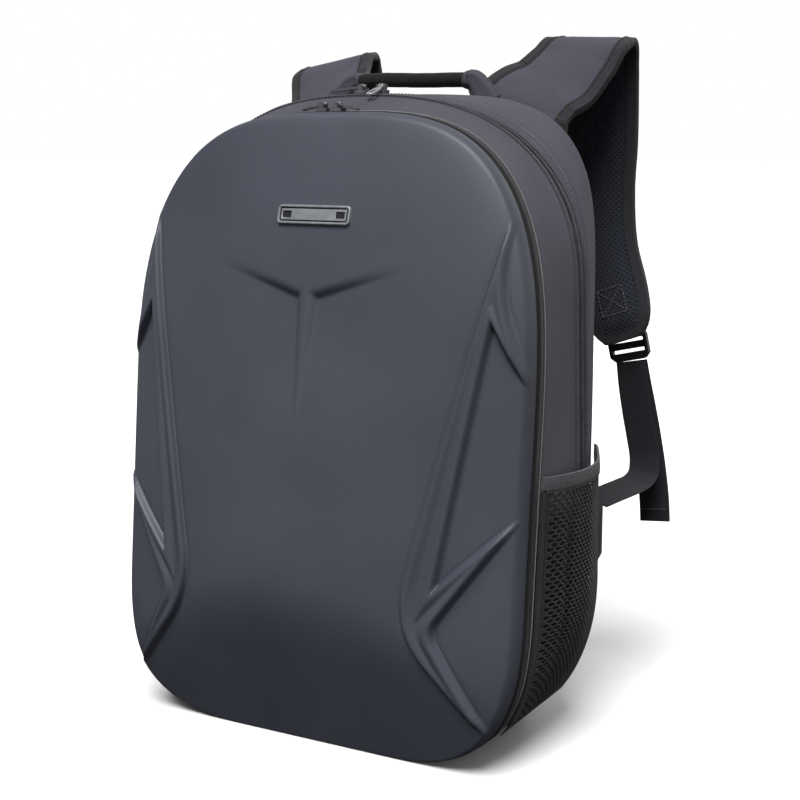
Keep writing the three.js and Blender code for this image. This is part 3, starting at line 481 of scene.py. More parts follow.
def fabric(name, dark, light, pitch, depth=0.16, streak=(0.5, 2.2), flat=True, ribs=None, ends=None):
    """Woven cloth: weave, heather streaks, a broad unevenness of colour and, past a distance, ends painted
    near black as painted shade.
    """
    look = Look(name, Roughness=0.88, Sheen_Weight=0.12, Sheen_Roughness=0.5, Specular_IOR_Level=0.25)
    place = look.cloth_mm() if flat else look.object_mm()
    thread = look.wave(place, ribs, pitch) if ribs is not None else look.weave(place, pitch)
    heather = look.noise(look.stretched(place, (*streak, 1.0)), 0.9, 3.0)
    broad = look.noise(place, 0.018, 2.0)
    tone = look.sum((thread, 0.22), (heather, 0.62), (broad, 0.3))
    stops = [(0.34, srgb(*dark)), (0.82, srgb(*light))]
    if ends is not None:
        # Painted shade: past the given distance from the middle, the cloth turns near black in place of the
        # shade inside the side pockets.
        along = look.node("ShaderNodeSeparateXYZ", {"Vector": place}).outputs[0]
        past = look.part_range(look.math("ABSOLUTE", along), ends, ends + 4.0)
        tone = look.math("SUBTRACT", tone, past)
        tone = look.math("ADD", tone, 0.3)
        stops = [(0.0, srgb(12, 12, 14)), (0.2, srgb(26, 26, 29)), (0.64, srgb(*dark)), (1.0, srgb(*light))]
    look.colour(tone, *stops)
    look.bump(look.sum((thread, 0.8), (heather, 0.35)), depth)
    return look.material


def shell_finish():
    look = Look("shell_finish", Specular_IOR_Level=0.42, Coat_Weight=0.06, Coat_Roughness=0.45)
    place = look.object_mm()
    grain = look.noise(place, 1.3, 3.0)
    broad = look.noise(place, 0.012, 2.0)
    speck = look.noise(place, 1.9, 0.0)
    bright = look.part_range(speck, 0.72, 0.82)
    tone = look.sum((grain, 0.3), (broad, 0.4), (bright, 0.3))
    look.colour(tone, (0.2, srgb(58, 61, 70)), (0.5, srgb(69, 72, 83)), (1.0, srgb(108, 112, 124)))
    look.bump(grain, 0.05)
    return look.rough(look.sum((grain, 0.5), (broad, 0.5)), 0.42, 0.6).material


def hard_finish(name, dark, light, metallic, low, high, scratch=(0.3, 3.0, 3.0)):
    look = Look(name, Metallic=metallic)
    place = look.object_mm()
    brushed = look.noise(look.stretched(place, scratch), 1.2, 4.0)
    broad = look.noise(place, 0.15, 2.0)
    look.colour(look.sum((brushed, 0.6), (broad, 0.4)), (0.3, srgb(*dark)), (0.7, srgb(*light)))
    look.bump(brushed, 0.02)
    return look.rough(look.sum((brushed, 0.5), (broad, 0.5)), low, high).material


def lining_finish(name, *tones):
    """Spacer mesh: rows of small raised cells with dark holes between them."""
    look = Look(name, Roughness=0.85, Sheen_Weight=0.2, Sheen_Roughness=0.5, Specular_IOR_Level=0.3)
    place = look.cloth_mm()
    turned = look.node("ShaderNodeMapping", {"Vector": place, "Rotation": (0, 0, math.radians(45)),
                                             "Scale": (0.32, 0.32, 1.0)}).outputs["Vector"]
    cells = look.node("ShaderNodeTexVoronoi", {"Vector": turned, "Scale": 1.0, "Randomness": 0.12})
    raised = look.part_range(cells.outputs["Distance"], 0.14, 0.36)
    fuzz = look.noise(place, 1.6, 2.0)
    stops = [(level, srgb(*tone)) for level, tone in zip((0.1, 0.55, 0.95), tones)]
    look.colour(look.sum((raised, 0.6), (fuzz, 0.4)), *stops)
    look.bump(look.sum((raised, 1.0), (fuzz, 0.2)), 0.6)
    return look.material


def pile_finish():
    look = Look("pile_cloth", Roughness=0.95, Sheen_Weight=0.12, Sheen_Roughness=0.6,
                Specular_IOR_Level=0.1)
    place = look.object_mm()
    tuft = look.noise(place, 1.1, 4.0)
    broad = look.noise(place, 0.1, 2.0)
    look.colour(look.sum((tuft, 0.7), (broad, 0.3)), (0.35, srgb(9, 9, 10)), (0.75, srgb(26, 26, 28)))
    return look.bump(tuft, 0.8).material


LOOKS = {
    "shell": shell_finish(),
    "cloth": fabric("body_cloth", (50, 48, 57), (77, 74, 86), 0.9),
    # Its lower ends, behind the pocket nets, carry painted shade.
    "side_cloth_pocket_shade": fabric("side_cloth_pocket_shade", (51, 49, 57), (77, 74, 85), 0.9, ends=388.0),
    "dark_cloth": fabric("base_cloth", (28, 28, 31), (50, 50, 54), 1.1),
    "pile": pile_finish(),
    "tape": fabric("zip_tape_cloth", (14, 14, 15), (44, 44, 47), 1.1, depth=0.3, ribs=1),
    "front_tape": fabric("front_tape_cloth", (17, 17, 19), (38, 38, 40), 0.8, depth=0.12, ribs=1),
    "chain": hard_finish("zip_coil", (46, 46, 50), (100, 100, 105), 0.0, 0.35, 0.5),
    "front_chain": hard_finish("front_zip_coil", (28, 28, 30), (66, 66, 69), 0.0, 0.4, 0.55),
    "mesh": fabric("pocket_net", (14, 14, 16), (32, 32, 35), 0.7, flat=False),
    "band": fabric("elastic_cloth", (44, 44, 47), (96, 96, 101), 0.9, depth=0.25, streak=(0.3, 2.4),
                   ribs=0),
    "lining": lining_finish("lining_mesh", (4, 4, 7), (15, 17, 26), (31, 35, 48)),
    "back_mesh": lining_finish("back_mesh", (14, 14, 16), (42, 43, 47), (70, 71, 77)),
    "binding": fabric("binding_cloth", (24, 24, 27), (52, 52, 57), 0.8, depth=0.2, ribs=0),
    "webbing": fabric("woven_webbing", (16, 16, 21), (38, 38, 45), 1.3, depth=0.3, streak=(1.2, 0.6)),
    "plastic": hard_finish("buckle_plastic", (18, 18, 20), (34, 34, 37), 0.0, 0.32, 0.5),
    "metal": hard_finish("dark_zip_metal", (70, 71, 75), (120, 122, 127), 0.6, 0.25, 0.42),
    # Painted highlight: a much lighter metal for the main right pull alone, where the other pulls use the
    # dark metal.
    "painted_highlight_metal": hard_finish("painted_highlight_zip_metal", (164, 166, 170), (224, 226, 229), 0.75, 0.18, 0.34),
    "badge": hard_finish("satin_plate", (128, 131, 136), (172, 175, 180), 0.45, 0.3, 0.45,
                         scratch=(0.15, 6.0, 6.0)),
    # Painted shade: the plate's recess floor, dark in place of the shade in the groove.
    "badge_recess_painted_shade": hard_finish("plate_recess_painted_shade", (16, 16, 18), (30, 30, 33), 0.2, 0.5, 0.7),
    "light_thread": fabric("light_thread", (104, 104, 106), (158, 158, 160), 0.6, flat=False),
    "dark_thread": fabric("dark_thread", (14, 14, 16), (36, 36, 40), 0.6, flat=False),
    "grey_thread": fabric("grey_thread", (58, 57, 62), (96, 94, 100), 0.6, flat=False),
}


def place(obj, look, slot, *nodes, body=BAG):
    """Give a piece its finish, hide the nodes it stands for and hang it on the body that carries it."""
    obj.data.materials.append(LOOKS[look])
    if nodes:
        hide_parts(*nodes)
    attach(obj, body)
    return obj


def skin(name, loops, look, slot, *nodes, uv=None, sharp=None, fans=False):
    """Piece made of a closed form over a row of loops."""
    shape = Shape().add(*loft(loops, uv, fans))
    return place(shape.build(name, sharp), look, slot, *nodes)


def cloth_wall(name, outer, inner, look, slot, *nodes, sharp=50, **kind):
    """Piece made of a cloth wall between two grids."""
    shape = Shape().add(*wall(outer, inner, **kind))
    return place(shape.build(name, sharp), look, slot, *nodes)


# Body outline
ARC_STEPS = 200
TANGENT_STEP = 0.003


def half_outline(s):
    t = np.linspace(0.0, math.pi / 2, ARC_STEPS + 1)
    rise, run = np.clip(np.sin(t), 0, 1), np.clip(np.cos(t), 0, 1)
    p, q = 2 / s["top_power"], 2 / s["base_power"]
    top = np.stack([s["half"] * rise**p, s["top"] - s["top_radius"] * (1 - run**p)], 1)
    base_x = s["flat"] + (s["half"] - s["flat"]) * run**q
    base = np.stack([base_x, s["floor"] + s["base_radius"] * (1 - rise**q)], 1)
    return np.concatenate([top, base, [[0.0, s["floor"]]]])


def sampler(name, inset=0.0, shift=0.0, depth=None):
    """Points of a section by the share of its half outline; negative shares are the left half."""
    s = dict(SECTIONS[name])
    s["top"] -= inset
    s["half"] -= inset
    s["floor"] += inset
    base_depth = s["depth"] if depth is None else depth
    line = half_outline(s)
    run = np.concatenate([[0.0], np.cumsum(np.hypot(*np.diff(line, axis=0).T))])
    run /= run[-1]

    def at(share):
        share = (np.asarray(share, float) + 1) % 2 - 1
        x = np.interp(np.abs(share), run, line[:, 0]) * np.where(share < 0, -1.0, 1.0)
        z = np.interp(np.abs(share), run, line[:, 1])
        return np.stack([x, base_depth + shift + s["lean"] * (z - MID_HEIGHT), z], -1)

    return at


def outline_normal(at, share):
    along = at(share + TANGENT_STEP) - at(share - TANGENT_STEP)
    return unit(np.stack([-along[..., 2], 0 * along[..., 0], along[..., 0]], -1))


def arch(count, limit=BASE_SPLIT):
    return np.linspace(limit, -limit, count)


rim_at = sampler("rim")
zip_at = sampler("zip")
rear_at = sampler("rear")
back_at = sampler("back")
gusset_front = sampler("rim", shift=FRONT_TAPE["width"] + GAP)
zip_lip = MAIN_TAPE["half"] + GAP
front_lip = sampler("zip", shift=-zip_lip)
rear_lip = sampler("zip", shift=zip_lip)


# Front shell: dome with a rolled rim, a raised band on each side, sunk panels and the Y
RIM_LINE = rim_at(np.linspace(0.0, 1.0, 1200))[:, ::2] - [0.0, SHELL["centre"]]
RIM_ANGLES = np.arctan2(RIM_LINE[:, 1], RIM_LINE[:, 0])
RIM_ORDER = np.argsort(RIM_ANGLES)
RIM_REACH = np.hypot(*RIM_LINE.T)[RIM_ORDER]
RIM_ANGLES = RIM_ANGLES[RIM_ORDER]


def rim_depth(z):
    return SECTIONS["rim"]["depth"] + SECTIONS["rim"]["lean"] * (z - MID_HEIGHT)


def beside(a, b, x, z):
    length = math.hypot(b[0] - a[0], b[1] - a[1])
    return ((b[0] - a[0]) * (z - a[1]) - (b[1] - a[1]) * (x - a[0])) / length


def rounded_rise(distance, width):
    """Climbs steeply from a crease and rounds over to level."""
    return 1.0 - (1.0 - np.clip(distance / width, 0.0, 1.0)) ** SHELL["rise_power"]


def rounded_min(a, b, width):
    """Smaller of two distances, with the corner between them rounded."""
    return np.minimum(a, b) - np.maximum(0.0, width - np.abs(a - b)) ** 2 / (4.0 * width)


def dome(x, z):
    rise = z - SHELL["centre"]
    reach = np.interp(np.arctan2(rise, np.abs(x)), RIM_ANGLES, RIM_REACH)
    share = np.minimum(1.0, np.hypot(x, rise) / reach)
    edge = (1.0 - share) * reach
    roll_height = lerp(SHELL["roll_side"], SHELL["roll_top"], smooth(*SHELL["roll_span"], z))
    roll = np.sqrt(1.0 - (1.0 - np.clip(edge / SHELL["roll_width"], 0.0, 1.0)) ** 2)
    crown = SHELL["crown"] + SHELL["crown_low"] * (1.0 - smooth(*SHELL["crown_span"], z))
    height = roll_height * roll + crown * (1.0 - share**2) ** SHELL["crown_power"]
    under = SHELL["under_start"] + SHELL["under_slope"] * z
    mix = np.clip(0.5 + (under - height) / (2 * SHELL["under_blend"]), 0.0, 1.0)
    return lerp(under, height, mix) - SHELL["under_blend"] * mix * (1.0 - mix), edge


def panel_distance(corners, side, z):
    """Distance outside a sunk panel, negative within it."""
    lines = [beside(a, b, side, z) for a, b in zip(corners, corners[1:])]
    if len(lines) == 2:
        inside = rounded_min(*lines, SHELL["corner_round"])
    else:
        inside = np.min(lines, axis=0)
    return -inside


def side_band(side, z, edge):
    """Height of the K-shaped band and its sunk panels over the dome."""
    top, bend, end = (BAND_LINE[k] for k in ("top", "bend", "end"))
    beyond = rounded_min(-beside(bend, top, side, z), beside(bend, end, side, z), SHELL["bend_round"])
    away_signed = np.min([panel_distance(corners, side, z) for corners in PANELS], axis=0)
    away = np.maximum(0.0, away_signed)
    valley = SHELL["dish"] * smooth(SHELL["dish_from"], SHELL["dish_to"], np.minimum(beyond, away))
    inward = smooth(0, SHELL["band_fade"], edge)
    band = (SHELL["band_rise"] - valley) * rounded_rise(beyond, SHELL["band_round"]) * inward
    floor = -SHELL["floor"] * smooth(*SHELL["floor_fade"], edge)
    form = np.where(beyond > 0, lerp(floor, band, rounded_rise(away, SHELL["wall_round"])), 0.0)
    foot = np.minimum(np.abs(beyond), np.where(beyond > 0, np.abs(away_signed), 99.0))
    return form - SHELL["crease"] * np.exp(-((foot / SHELL["crease_width"]) ** 2)) * inward


def relief(x, z, edge):
    side = np.abs(x)
    corner, tip, stem = (Y_MARK[k] for k in ("corner", "tip", "stem_end"))
    field = np.minimum(-beside(corner, tip, side, z), -beside(stem, corner, side, z))
    fade = 1.0 - smooth(0, 1, (side - corner[0]) / (tip[0] - corner[0]))
    fade = fade * (1.0 - smooth(0, 1, (corner[1] - z) / (corner[1] - stem[1])))
    y_form = SHELL["y_drop"] * fade * (1.0 - rounded_rise(-field, SHELL["y_round"]))
    return side_band(side, z, edge) - y_form


def shell_y(x, z):
    height, edge = dome(x, z)
    return rim_depth(z) - height - relief(x, z, edge)


SHELL_AROUND = 700


def front_shell():
    around = 1.0 - np.arange(SHELL_AROUND) * 2 / SHELL_AROUND
    ring = rim_at(around)
    inner = sampler("rim", inset=SHELL["wall"])(around)
    # Rows from the middle of the dome to the rim, closest together in the roll
    roll = 1.0 - 0.06 * (1.0 - np.cos(np.linspace(0, math.pi / 2, 16)))
    shares = np.concatenate([np.linspace(0.012, 0.49, 16), np.linspace(0.5, 0.936, 84), roll[::-1]])
    x = shares[:, None] * ring[:, 0]
    z = SHELL["centre"] + shares[:, None] * (ring[:, 2] - SHELL["centre"])
    front = np.stack([x, shell_y(x, z), z], -1)
    back_shares = np.array([1.0, 0.96, 0.9, 0.8, 0.6, 0.3])
    x = back_shares[:, None] * inner[:, 0]
    z = SHELL["centre"] + back_shares[:, None] * (inner[:, 2] - SHELL["centre"])
    sunk = SHELL["wall"] + SHELL["floor"] + SHELL["crease"]
    depth = np.where(back_shares[:, None] < 1.0, np.maximum(0.0, dome(x, z)[0] - sunk), 0.0)
    back = np.stack([x, rim_depth(z) - depth, z], -1)
    loops = np.concatenate([front, back])
    skin("front_shell_moulded", loops, "shell", "shell", "front_shell", fans=True)


# Plate on the shell: a raised lip, a dark groove and a bare field with a window at each end; the floor seen
# in the groove and the windows is the plate's metal painted dark as painted shade of the recess
def rounded_loop(width, height, radius):
    turn = np.linspace(0, math.pi / 2, 6)
    arc = np.stack([np.cos(turn), np.sin(turn)], 1) * radius
    loop = []
    for quarter, (sx, sy) in enumerate([(1, 1), (-1, 1), (-1, -1), (1, -1)]):
        a = quarter * math.pi / 2
        turned = arc @ np.array([[math.cos(a), math.sin(a)], [-math.sin(a), math.cos(a)]])
        loop.append(turned + [sx * (width / 2 - radius), sy * (height / 2 - radius)])
    return np.concatenate(loop)


def badge():
    half = BADGE["height"] / 2
    low, high = (np.array([0.0, float(shell_y(np.zeros(1), np.array([z]))[0]), z])
                 for z in (BADGE["middle"] - half, BADGE["middle"] + half))
    up = unit(high - low)
    right = np.array([1.0, 0.0, 0.0])
    out = np.cross(right, up)
    middle = (low + high) / 2 + out * BADGE["lift"]

    def on_plate(flat, height):
        flat = np.asarray(flat, float)
        return middle + flat[..., :1] * right + flat[..., 1:2] * up + out * height

    def ring(inset, height):
        radius = max(0.8, BADGE["corner"] - inset)
        loop = rounded_loop(BADGE["width"] - 2 * inset, BADGE["height"] - 2 * inset, radius)
        return on_plate(loop, height)

    loops = np.stack([ring(*row) for row in BADGE_LIP])
    shape = Shape()
    index = np.arange(loops.shape[0] * loops.shape[1]).reshape(loops.shape[:2])
    shape.add(loops, [grid_faces(index, closed_rows=True, closed_columns=True)])
    grid = np.stack(np.meshgrid(BADGE_FIELD["across"], BADGE_FIELD["tall"], indexing="ij"), -1)
    count = grid.shape[0] * grid.shape[1]
    points = np.concatenate([on_plate(grid, BADGE_FIELD[face]).reshape(-1, 3) for face in ("top", "foot")])
    index = np.arange(count).reshape(grid.shape[:2])
    windows = [(1, 1), (3, 1)]
    cells = [(i, j) for i in range(5) for j in range(3)]
    corner = lambda i, j: [index[i, j], index[i + 1, j], index[i + 1, j + 1], index[i, j + 1]]
    faces = [corner(*cell) for cell in cells if cell not in windows]
    faces += [[v + count for v in corner(*cell)[::-1]] for cell in cells if cell not in windows]
    edges = {}
    for face in faces[: len(cells) - len(windows)]:
        for a, b in zip(face, face[1:] + face[:1]):
            edges[(a, b)] = True
    faces += [[b, a, a + count, b + count] for a, b in edges if (b, a) not in edges]
    shape.add(points, [np.array(faces)])
    plate = place(shape.build("badge_plate_bare", sharp=30), "badge", "badge", "badge_plate")
    bevel = plate.modifiers.new("soft edges", "BEVEL")
    bevel.width = 0.22 * MM
    bevel.segments = 2
    bevel.angle_limit = math.radians(40)
    # Floor under the groove and the windows: painted shade, the recess drawn in a dark metal finish.
    floor_loops = np.stack([ring(1.5, h) for h in (0.1, 0.62)])
    skin("badge_recess_painted_shade", floor_loops, "badge_recess_painted_shade", "badge", sharp=30)


# Zips
STRIP_STEPS = 420
TAPE_STEPS = 3060
FLOOR_GAP = 0.05


def zip_strip(at, width, thick, columns):
    """Flat strip along the arch of a section, from the section to a width behind it."""
    shares = arch(STRIP_STEPS)
    across = np.linspace(0.0, width, columns)
    outer = at(shares)[:, None, :] + across[None, :, None] * np.array([0.0, 1.0, 0.0])
    inner = outer - outline_normal(at, shares)[:, None, :] * thick
    return Shape().add(*wall(outer, inner))


def coil_places(path, normals, pitch):
    """Places of coil turns along a zip, with the directions along it, off it and toward the back."""
    points, way, up = spaced(path, normals, pitch)
    across = unit(np.cross(up, way))
    return points, way, up, across * np.sign(across[:, 1:2])


def zip_teeth(at):
    """Two rows of coil turns that mesh along the middle of the zip."""
    shares = arch(1500)
    points, way, up, across = coil_places(at(shares), outline_normal(at, shares), CHAIN["pitch"] / 2)
    hand = np.where(np.arange(len(points)) % 2 == 0, -1.0, 1.0)[:, None]
    slant = unit(across + CHAIN["slant"] * hand * way)
    centres = points + across * hand * CHAIN["spread"] - up * CHAIN["sunk"]
    return beads(centres, slant, way, CHAIN["turn"])


def front_zip():
    """Ribbed tape from behind the rim over the edge of the body cloth, its coil and a row of stitches."""
    shares = 1.0 - np.arange(TAPE_STEPS) * 2 / TAPE_STEPS
    columns = [sampler("rim", inset=inset, shift=back)(shares) for back, inset in FRONT_TAPE_LINE]
    outer = np.stack(columns, 1)
    outer[..., 2] = np.maximum(outer[..., 2], FLOOR_GAP)
    normal = outline_normal(rim_at, shares)[:, None, :] * (outer[..., 2:] > FLOOR_GAP)
    run = path_length(outer[:, -1])[:, None]
    back = np.array([row[0] for row in FRONT_TAPE_LINE])[None, :]
    rib = FRONT_TAPE["rib_height"] * np.sin(TURN * (run / FRONT_TAPE["rib"] + 0.12 * back))
    rib = rib * (back > FRONT_TAPE["ribs_from"])
    uv = np.stack(np.broadcast_arrays(run, back), -1)
    inner = outer - outline_normal(rim_at, shares)[:, None, :] * FRONT_TAPE["wall"]
    ribbed = outer + normal * rib[..., None]
    tape = cloth_wall("front_zip_tape_ribbed", ribbed, inner, "front_tape", "zip_tape", "front_zip_tape",
                      sharp=60, closed=True, uv=uv)

    shares = arch(2400)
    path = sampler("rim", inset=-FRONT_COIL["proud"], shift=FRONT_TAPE["coil"])(shares)
    points, way, _, across = coil_places(path, outline_normal(rim_at, shares), FRONT_TAPE["rib"])
    shape = Shape().add(*beads(points, unit(across + FRONT_COIL["slant"] * way), way, FRONT_COIL["turn"]))
    place(shape.build("front_zip_coil", sharp=50), "front_chain", "zip_chain", "front_zip_chain")

    shares = arch(2000)
    path = sampler("rim", inset=-0.6, shift=FRONT_TAPE["seam"])(shares)
    path[:, 2] = np.maximum(path[:, 2], FLOOR_GAP + 2 * THREAD)
    shape = stitches(Shape(), path, outline_normal(rim_at, shares), pitch=1.75, length=1.5, lift=0.12)
    place(shape.build("front_seam_stitches"), "light_thread", "zip_tape")


def main_zip():
    tape_at = sampler("zip", inset=MAIN_TAPE["inset"], shift=-MAIN_TAPE["half"])
    shape = zip_strip(tape_at, 2 * MAIN_TAPE["half"], MAIN_TAPE["thick"], 9)
    tape = place(shape.build("main_zip_tape_ribbed", sharp=40), "tape", "zip_tape", "main_zip_tape")
    chain_at = sampler("zip", inset=MAIN_TAPE["inset"] - GAP - CHAIN["thick"])
    low_at = sampler("zip", inset=MAIN_TAPE["inset"] - GAP - CHAIN["under"], shift=-CHAIN["half"])
    shape = zip_strip(low_at, 2 * CHAIN["half"], CHAIN["under"], 3)
    shape.add(*zip_teeth(chain_at))
    place(shape.build("main_zip_coil", sharp=50), "chain", "zip_chain", "main_zip_chain")


# Gussets and base
GUSSET_ROWS = 270
BASE_ROWS = 96
SPLIT_GAP = 0.00025
FOLD = dict(groove=0.7, beside=0.7, rolled=0.9, roll_width=1.4)


def panel_grid(samplers, knots, shares, columns):
    """Grid over several sections, with even columns between the first and the last."""
    rows = np.stack([at(shares) for at in samplers])
    where = np.linspace(0.0, knots[-1], columns)
    i = np.clip(np.searchsorted(knots, where, side="right") - 1, 0, len(knots) - 2)
    t = ((where - knots[i]) / (knots[i + 1] - knots[i]))[:, None, None]
    return np.moveaxis(lerp(rows[i], rows[i + 1], t), 0, 1)


def edge_fold(distance, width, rise):
    """Height of a folded cloth edge over the panel, with the sewn groove beside it."""
    fold = rise * (1.0 - smooth(width - 0.8, width + 0.4, distance))
    groove = -FOLD["groove"] * np.exp(-((distance - width - FOLD["beside"]) ** 2))
    rolled = -FOLD["rolled"] * (1.0 - smooth(0.0, FOLD["roll_width"], distance))
    return fold + groove + rolled


def gusset(name, node, samplers, shares, columns, folds, seed, look, slot, wave=0.7):
    knots = np.concatenate([[0.0], np.cumsum([
        np.linalg.norm(b(shares) - a(shares), axis=-1).mean() for a, b in zip(samplers, samplers[1:])])])
    grid = panel_grid(samplers, knots, shares, columns)
    normals = grid_normals(grid)
    toward = np.stack([grid[..., 0] / 160, 0 * grid[..., 1], (grid[..., 2] - MID_HEIGHT) / MID_HEIGHT], -1)
    normals = normals * np.sign(np.einsum("ijk,ijk->", normals, toward))
    uv = grid_uv(grid)
    uv[..., 0] -= uv[..., 0].max() / 2
    start, end = uv[..., 1], uv[..., 1].max() - uv[..., 1]
    height = edge_fold(start, *folds[0]) + edge_fold(end, *folds[1])
    calm = smooth(4, 16, start) * smooth(4, 16, end)
    height = height + wave * calm * ripples(seed, *np.moveaxis(grid, -1, 0), scale=150)
    outer = grid + normals * height[..., None]
    piece = cloth_wall(name, outer, outer - normals * CLOTH, look, slot, node, uv=uv)
    return piece, outer, normals, uv


def seam_row(name, grid, normals, uv, inset, look, **kind):
    """Stitches at a distance from the first edge of a panel, or from the last one if negative."""
    across = uv[0, :, 1]
    where = inset if inset > 0 else across[-1] + inset
    column = int(np.argmin(np.abs(across - where)))
    shape = stitches(Shape(), grid[:, column], normals[:, column], **kind)
    return place(shape.build(name), look, "cloth")


def body_cloth():
    shares = arch(GUSSET_ROWS, BASE_SPLIT - SPLIT_GAP)
    folds = ((3.4, 0.0), (5.2, 0.9))
    samplers = [gusset_front, front_lip]
    piece, grid, normals, uv = gusset("front_gusset_cloth", "front_gusset", samplers, shares, 44, folds, 3,
                                      "side_cloth_pocket_shade", "cloth")
    seam_row("front_lip_stitches", grid, normals, uv, -4.0, "grey_thread", pitch=3.0)

    fold_at = lambda s: lerp(rear_at(s), back_at(s), 0.55)
    samplers = [rear_lip, rear_at, fold_at, back_at]
    folds = ((5.2, 0.9), (2.5, 0.0))
    piece, grid, normals, uv = gusset("rear_gusset_cloth", "rear_gusset", samplers, shares, 40, folds, 5,
                                      "side_cloth_pocket_shade", "cloth", wave=0.5)
    seam_row("rear_lip_stitches", grid, normals, uv, 4.0, "grey_thread", pitch=3.0)

    samplers = [gusset_front, front_lip, rear_lip, rear_at, fold_at, back_at]
    shares = np.linspace(BASE_SPLIT + SPLIT_GAP, 2 - BASE_SPLIT - SPLIT_GAP, BASE_ROWS)
    folds = ((4.4, 0.3), (2.5, 0.0))
    piece, *_ = gusset("base_panel_cloth", "base_panel", samplers, shares, 60, folds, 9, "dark_cloth",
                       "dark_cloth", wave=0.0)


# Side pockets of open mesh with an elastic band
def body_side(share, depth):
    joint = POCKET["zip_share"]
    front, middle, rear = gusset_front(share), zip_at(share), rear_at(share)
    first = lerp(front, middle, (depth / joint)[..., None])
    second = lerp(middle, rear, ((depth - joint) / (1 - joint))[..., None])
    return np.where((depth < joint)[..., None], first, second)


def pocket_point(side, down, across, lift=0.0):
    """Pocket wall; down: 0 at the mouth to 1 at the foot, across: 0 at the front seam to 1 behind."""
    share = lerp(POCKET["mouth"], POCKET["foot"], down)
    height = 1.0 - down
    fullness = smooth(0, POCKET["full_from"], height) * lerp(POCKET["foot_full"], 1.0, height)
    belly = np.sin(math.pi * np.clip(across, 0.0, 1.0)) ** POCKET["belly"]
    depth = lerp(POCKET["front"], 1.0, across)
    p = body_side(side * (share + POCKET["rear_drop"] * depth * height), depth)
    rise = POCKET["levelling"] * (p[..., 2] - MID_HEIGHT) / MID_HEIGHT
    out = np.stack([p[..., 0] / SECTIONS["rim"]["half"], 0 * p[..., 1], rise], -1)
    off_pleat = (across - PLEAT["place"]) / PLEAT["width"]
    pleat = -PLEAT["depth"] * np.exp(-(off_pleat**2)) * smooth(*PLEAT["fade"], down)
    waves = np.sin(across * GATHER["waves"] + GATHER["phase"])
    gather = GATHER["height"] * waves * smooth(*GATHER["fade"], down) * belly
    stand = POCKET["seat"] + POCKET["wall"] + (POCKET["bulge"] + pleat + gather) * belly * fullness + lift
    return p + unit(out) * stand[..., None]


NET = dict(pitch_u=5.6, pitch_v=4.0, hole_u=2.0, hole_v=1.3, row_step=0.75, wide=104.0, tall=182.0,
           front_wide=20.0, yarn=0.7, edge=0.8, rear_closed=10.0, fine=(50.0, 66.0, 0.34))
HOLE_STEPS = 12


def net_sheet(side, first_down):
    """Open net: a staggered lattice of cells, each with an oval hole."""
    rows = int(NET["tall"] / (NET["pitch_v"] * NET["row_step"])) + 2
    columns = int(NET["wide"] / NET["pitch_u"]) + 2
    shape = Shape()
    angle = np.arange(HOLE_STEPS) * TURN / HOLE_STEPS
    half_cell = np.array([(0, 0.5), (0.25, 0.375), (0.5, 0.25), (0.5, 0.0), (0.5, -0.25), (0.25, -0.375)])
    hexagon = np.concatenate([half_cell, -half_cell]) * [NET["pitch_u"], NET["pitch_v"]]
    oval = np.stack([np.sin(angle) * NET["hole_u"], np.cos(angle) * NET["hole_v"]], 1)
    fine_from, fine_to, fine = NET["fine"]
    r, c = np.meshgrid(np.arange(rows), np.arange(columns), indexing="ij")
    middle = np.stack([(c + 0.5 * (r % 2)) * NET["pitch_u"], r * NET["pitch_v"] * NET["row_step"]], -1)
    middle = middle.reshape(-1, 2)
    limit = np.array([NET["wide"], NET["tall"]])
    hole = np.array([NET["hole_u"], NET["hole_v"]])
    before_end = middle + hole < limit - [NET["rear_closed"], NET["edge"]]
    whole = np.all((middle - hole > NET["edge"]) & before_end, axis=1)
    outer = np.clip(middle[:, None] + hexagon, 0.0, limit)
    size = lerp(1.0, fine, smooth(fine_from, fine_to, middle[:, :1]))[:, None]
    closed = np.clip(middle[:, None], 0, limit)
    inner = np.where(whole[:, None, None], middle[:, None] + oval * size, closed)
    flat = np.concatenate([outer, inner], axis=1)
    ring = np.arange(HOLE_STEPS)
    nxt = (ring + 1) % HOLE_STEPS
    quads = np.stack([ring, nxt, nxt + HOLE_STEPS, ring + HOLE_STEPS], 1)
    each = 2 * HOLE_STEPS
    faces = (quads[None] + (np.arange(len(middle)) * each)[:, None, None]).reshape(-1, 4)
    flat = flat.reshape(-1, 2)
    front = NET["front_wide"]
    behind = (flat[:, 0] - front) / (NET["wide"] - front) * (1.0 - PLEAT["place"])
    across = np.where(flat[:, 0] < front, flat[:, 0] / front * PLEAT["place"], PLEAT["place"] + behind)
    down = lerp(first_down, 1.0, flat[:, 1] / NET["tall"])
    points = pocket_point(side, down, across)
    return shape.add(points, [faces], flat)


def tidy_net(obj):
    """Weld the cells to one net and give it the thickness of its yarn."""
    weld = obj.modifiers.new("weld", "WELD")
    weld.merge_threshold = 0.02 * MM
    thick = obj.modifiers.new("yarn", "SOLIDIFY")
    thick.thickness = NET["yarn"] * MM
    thick.offset = 0.0


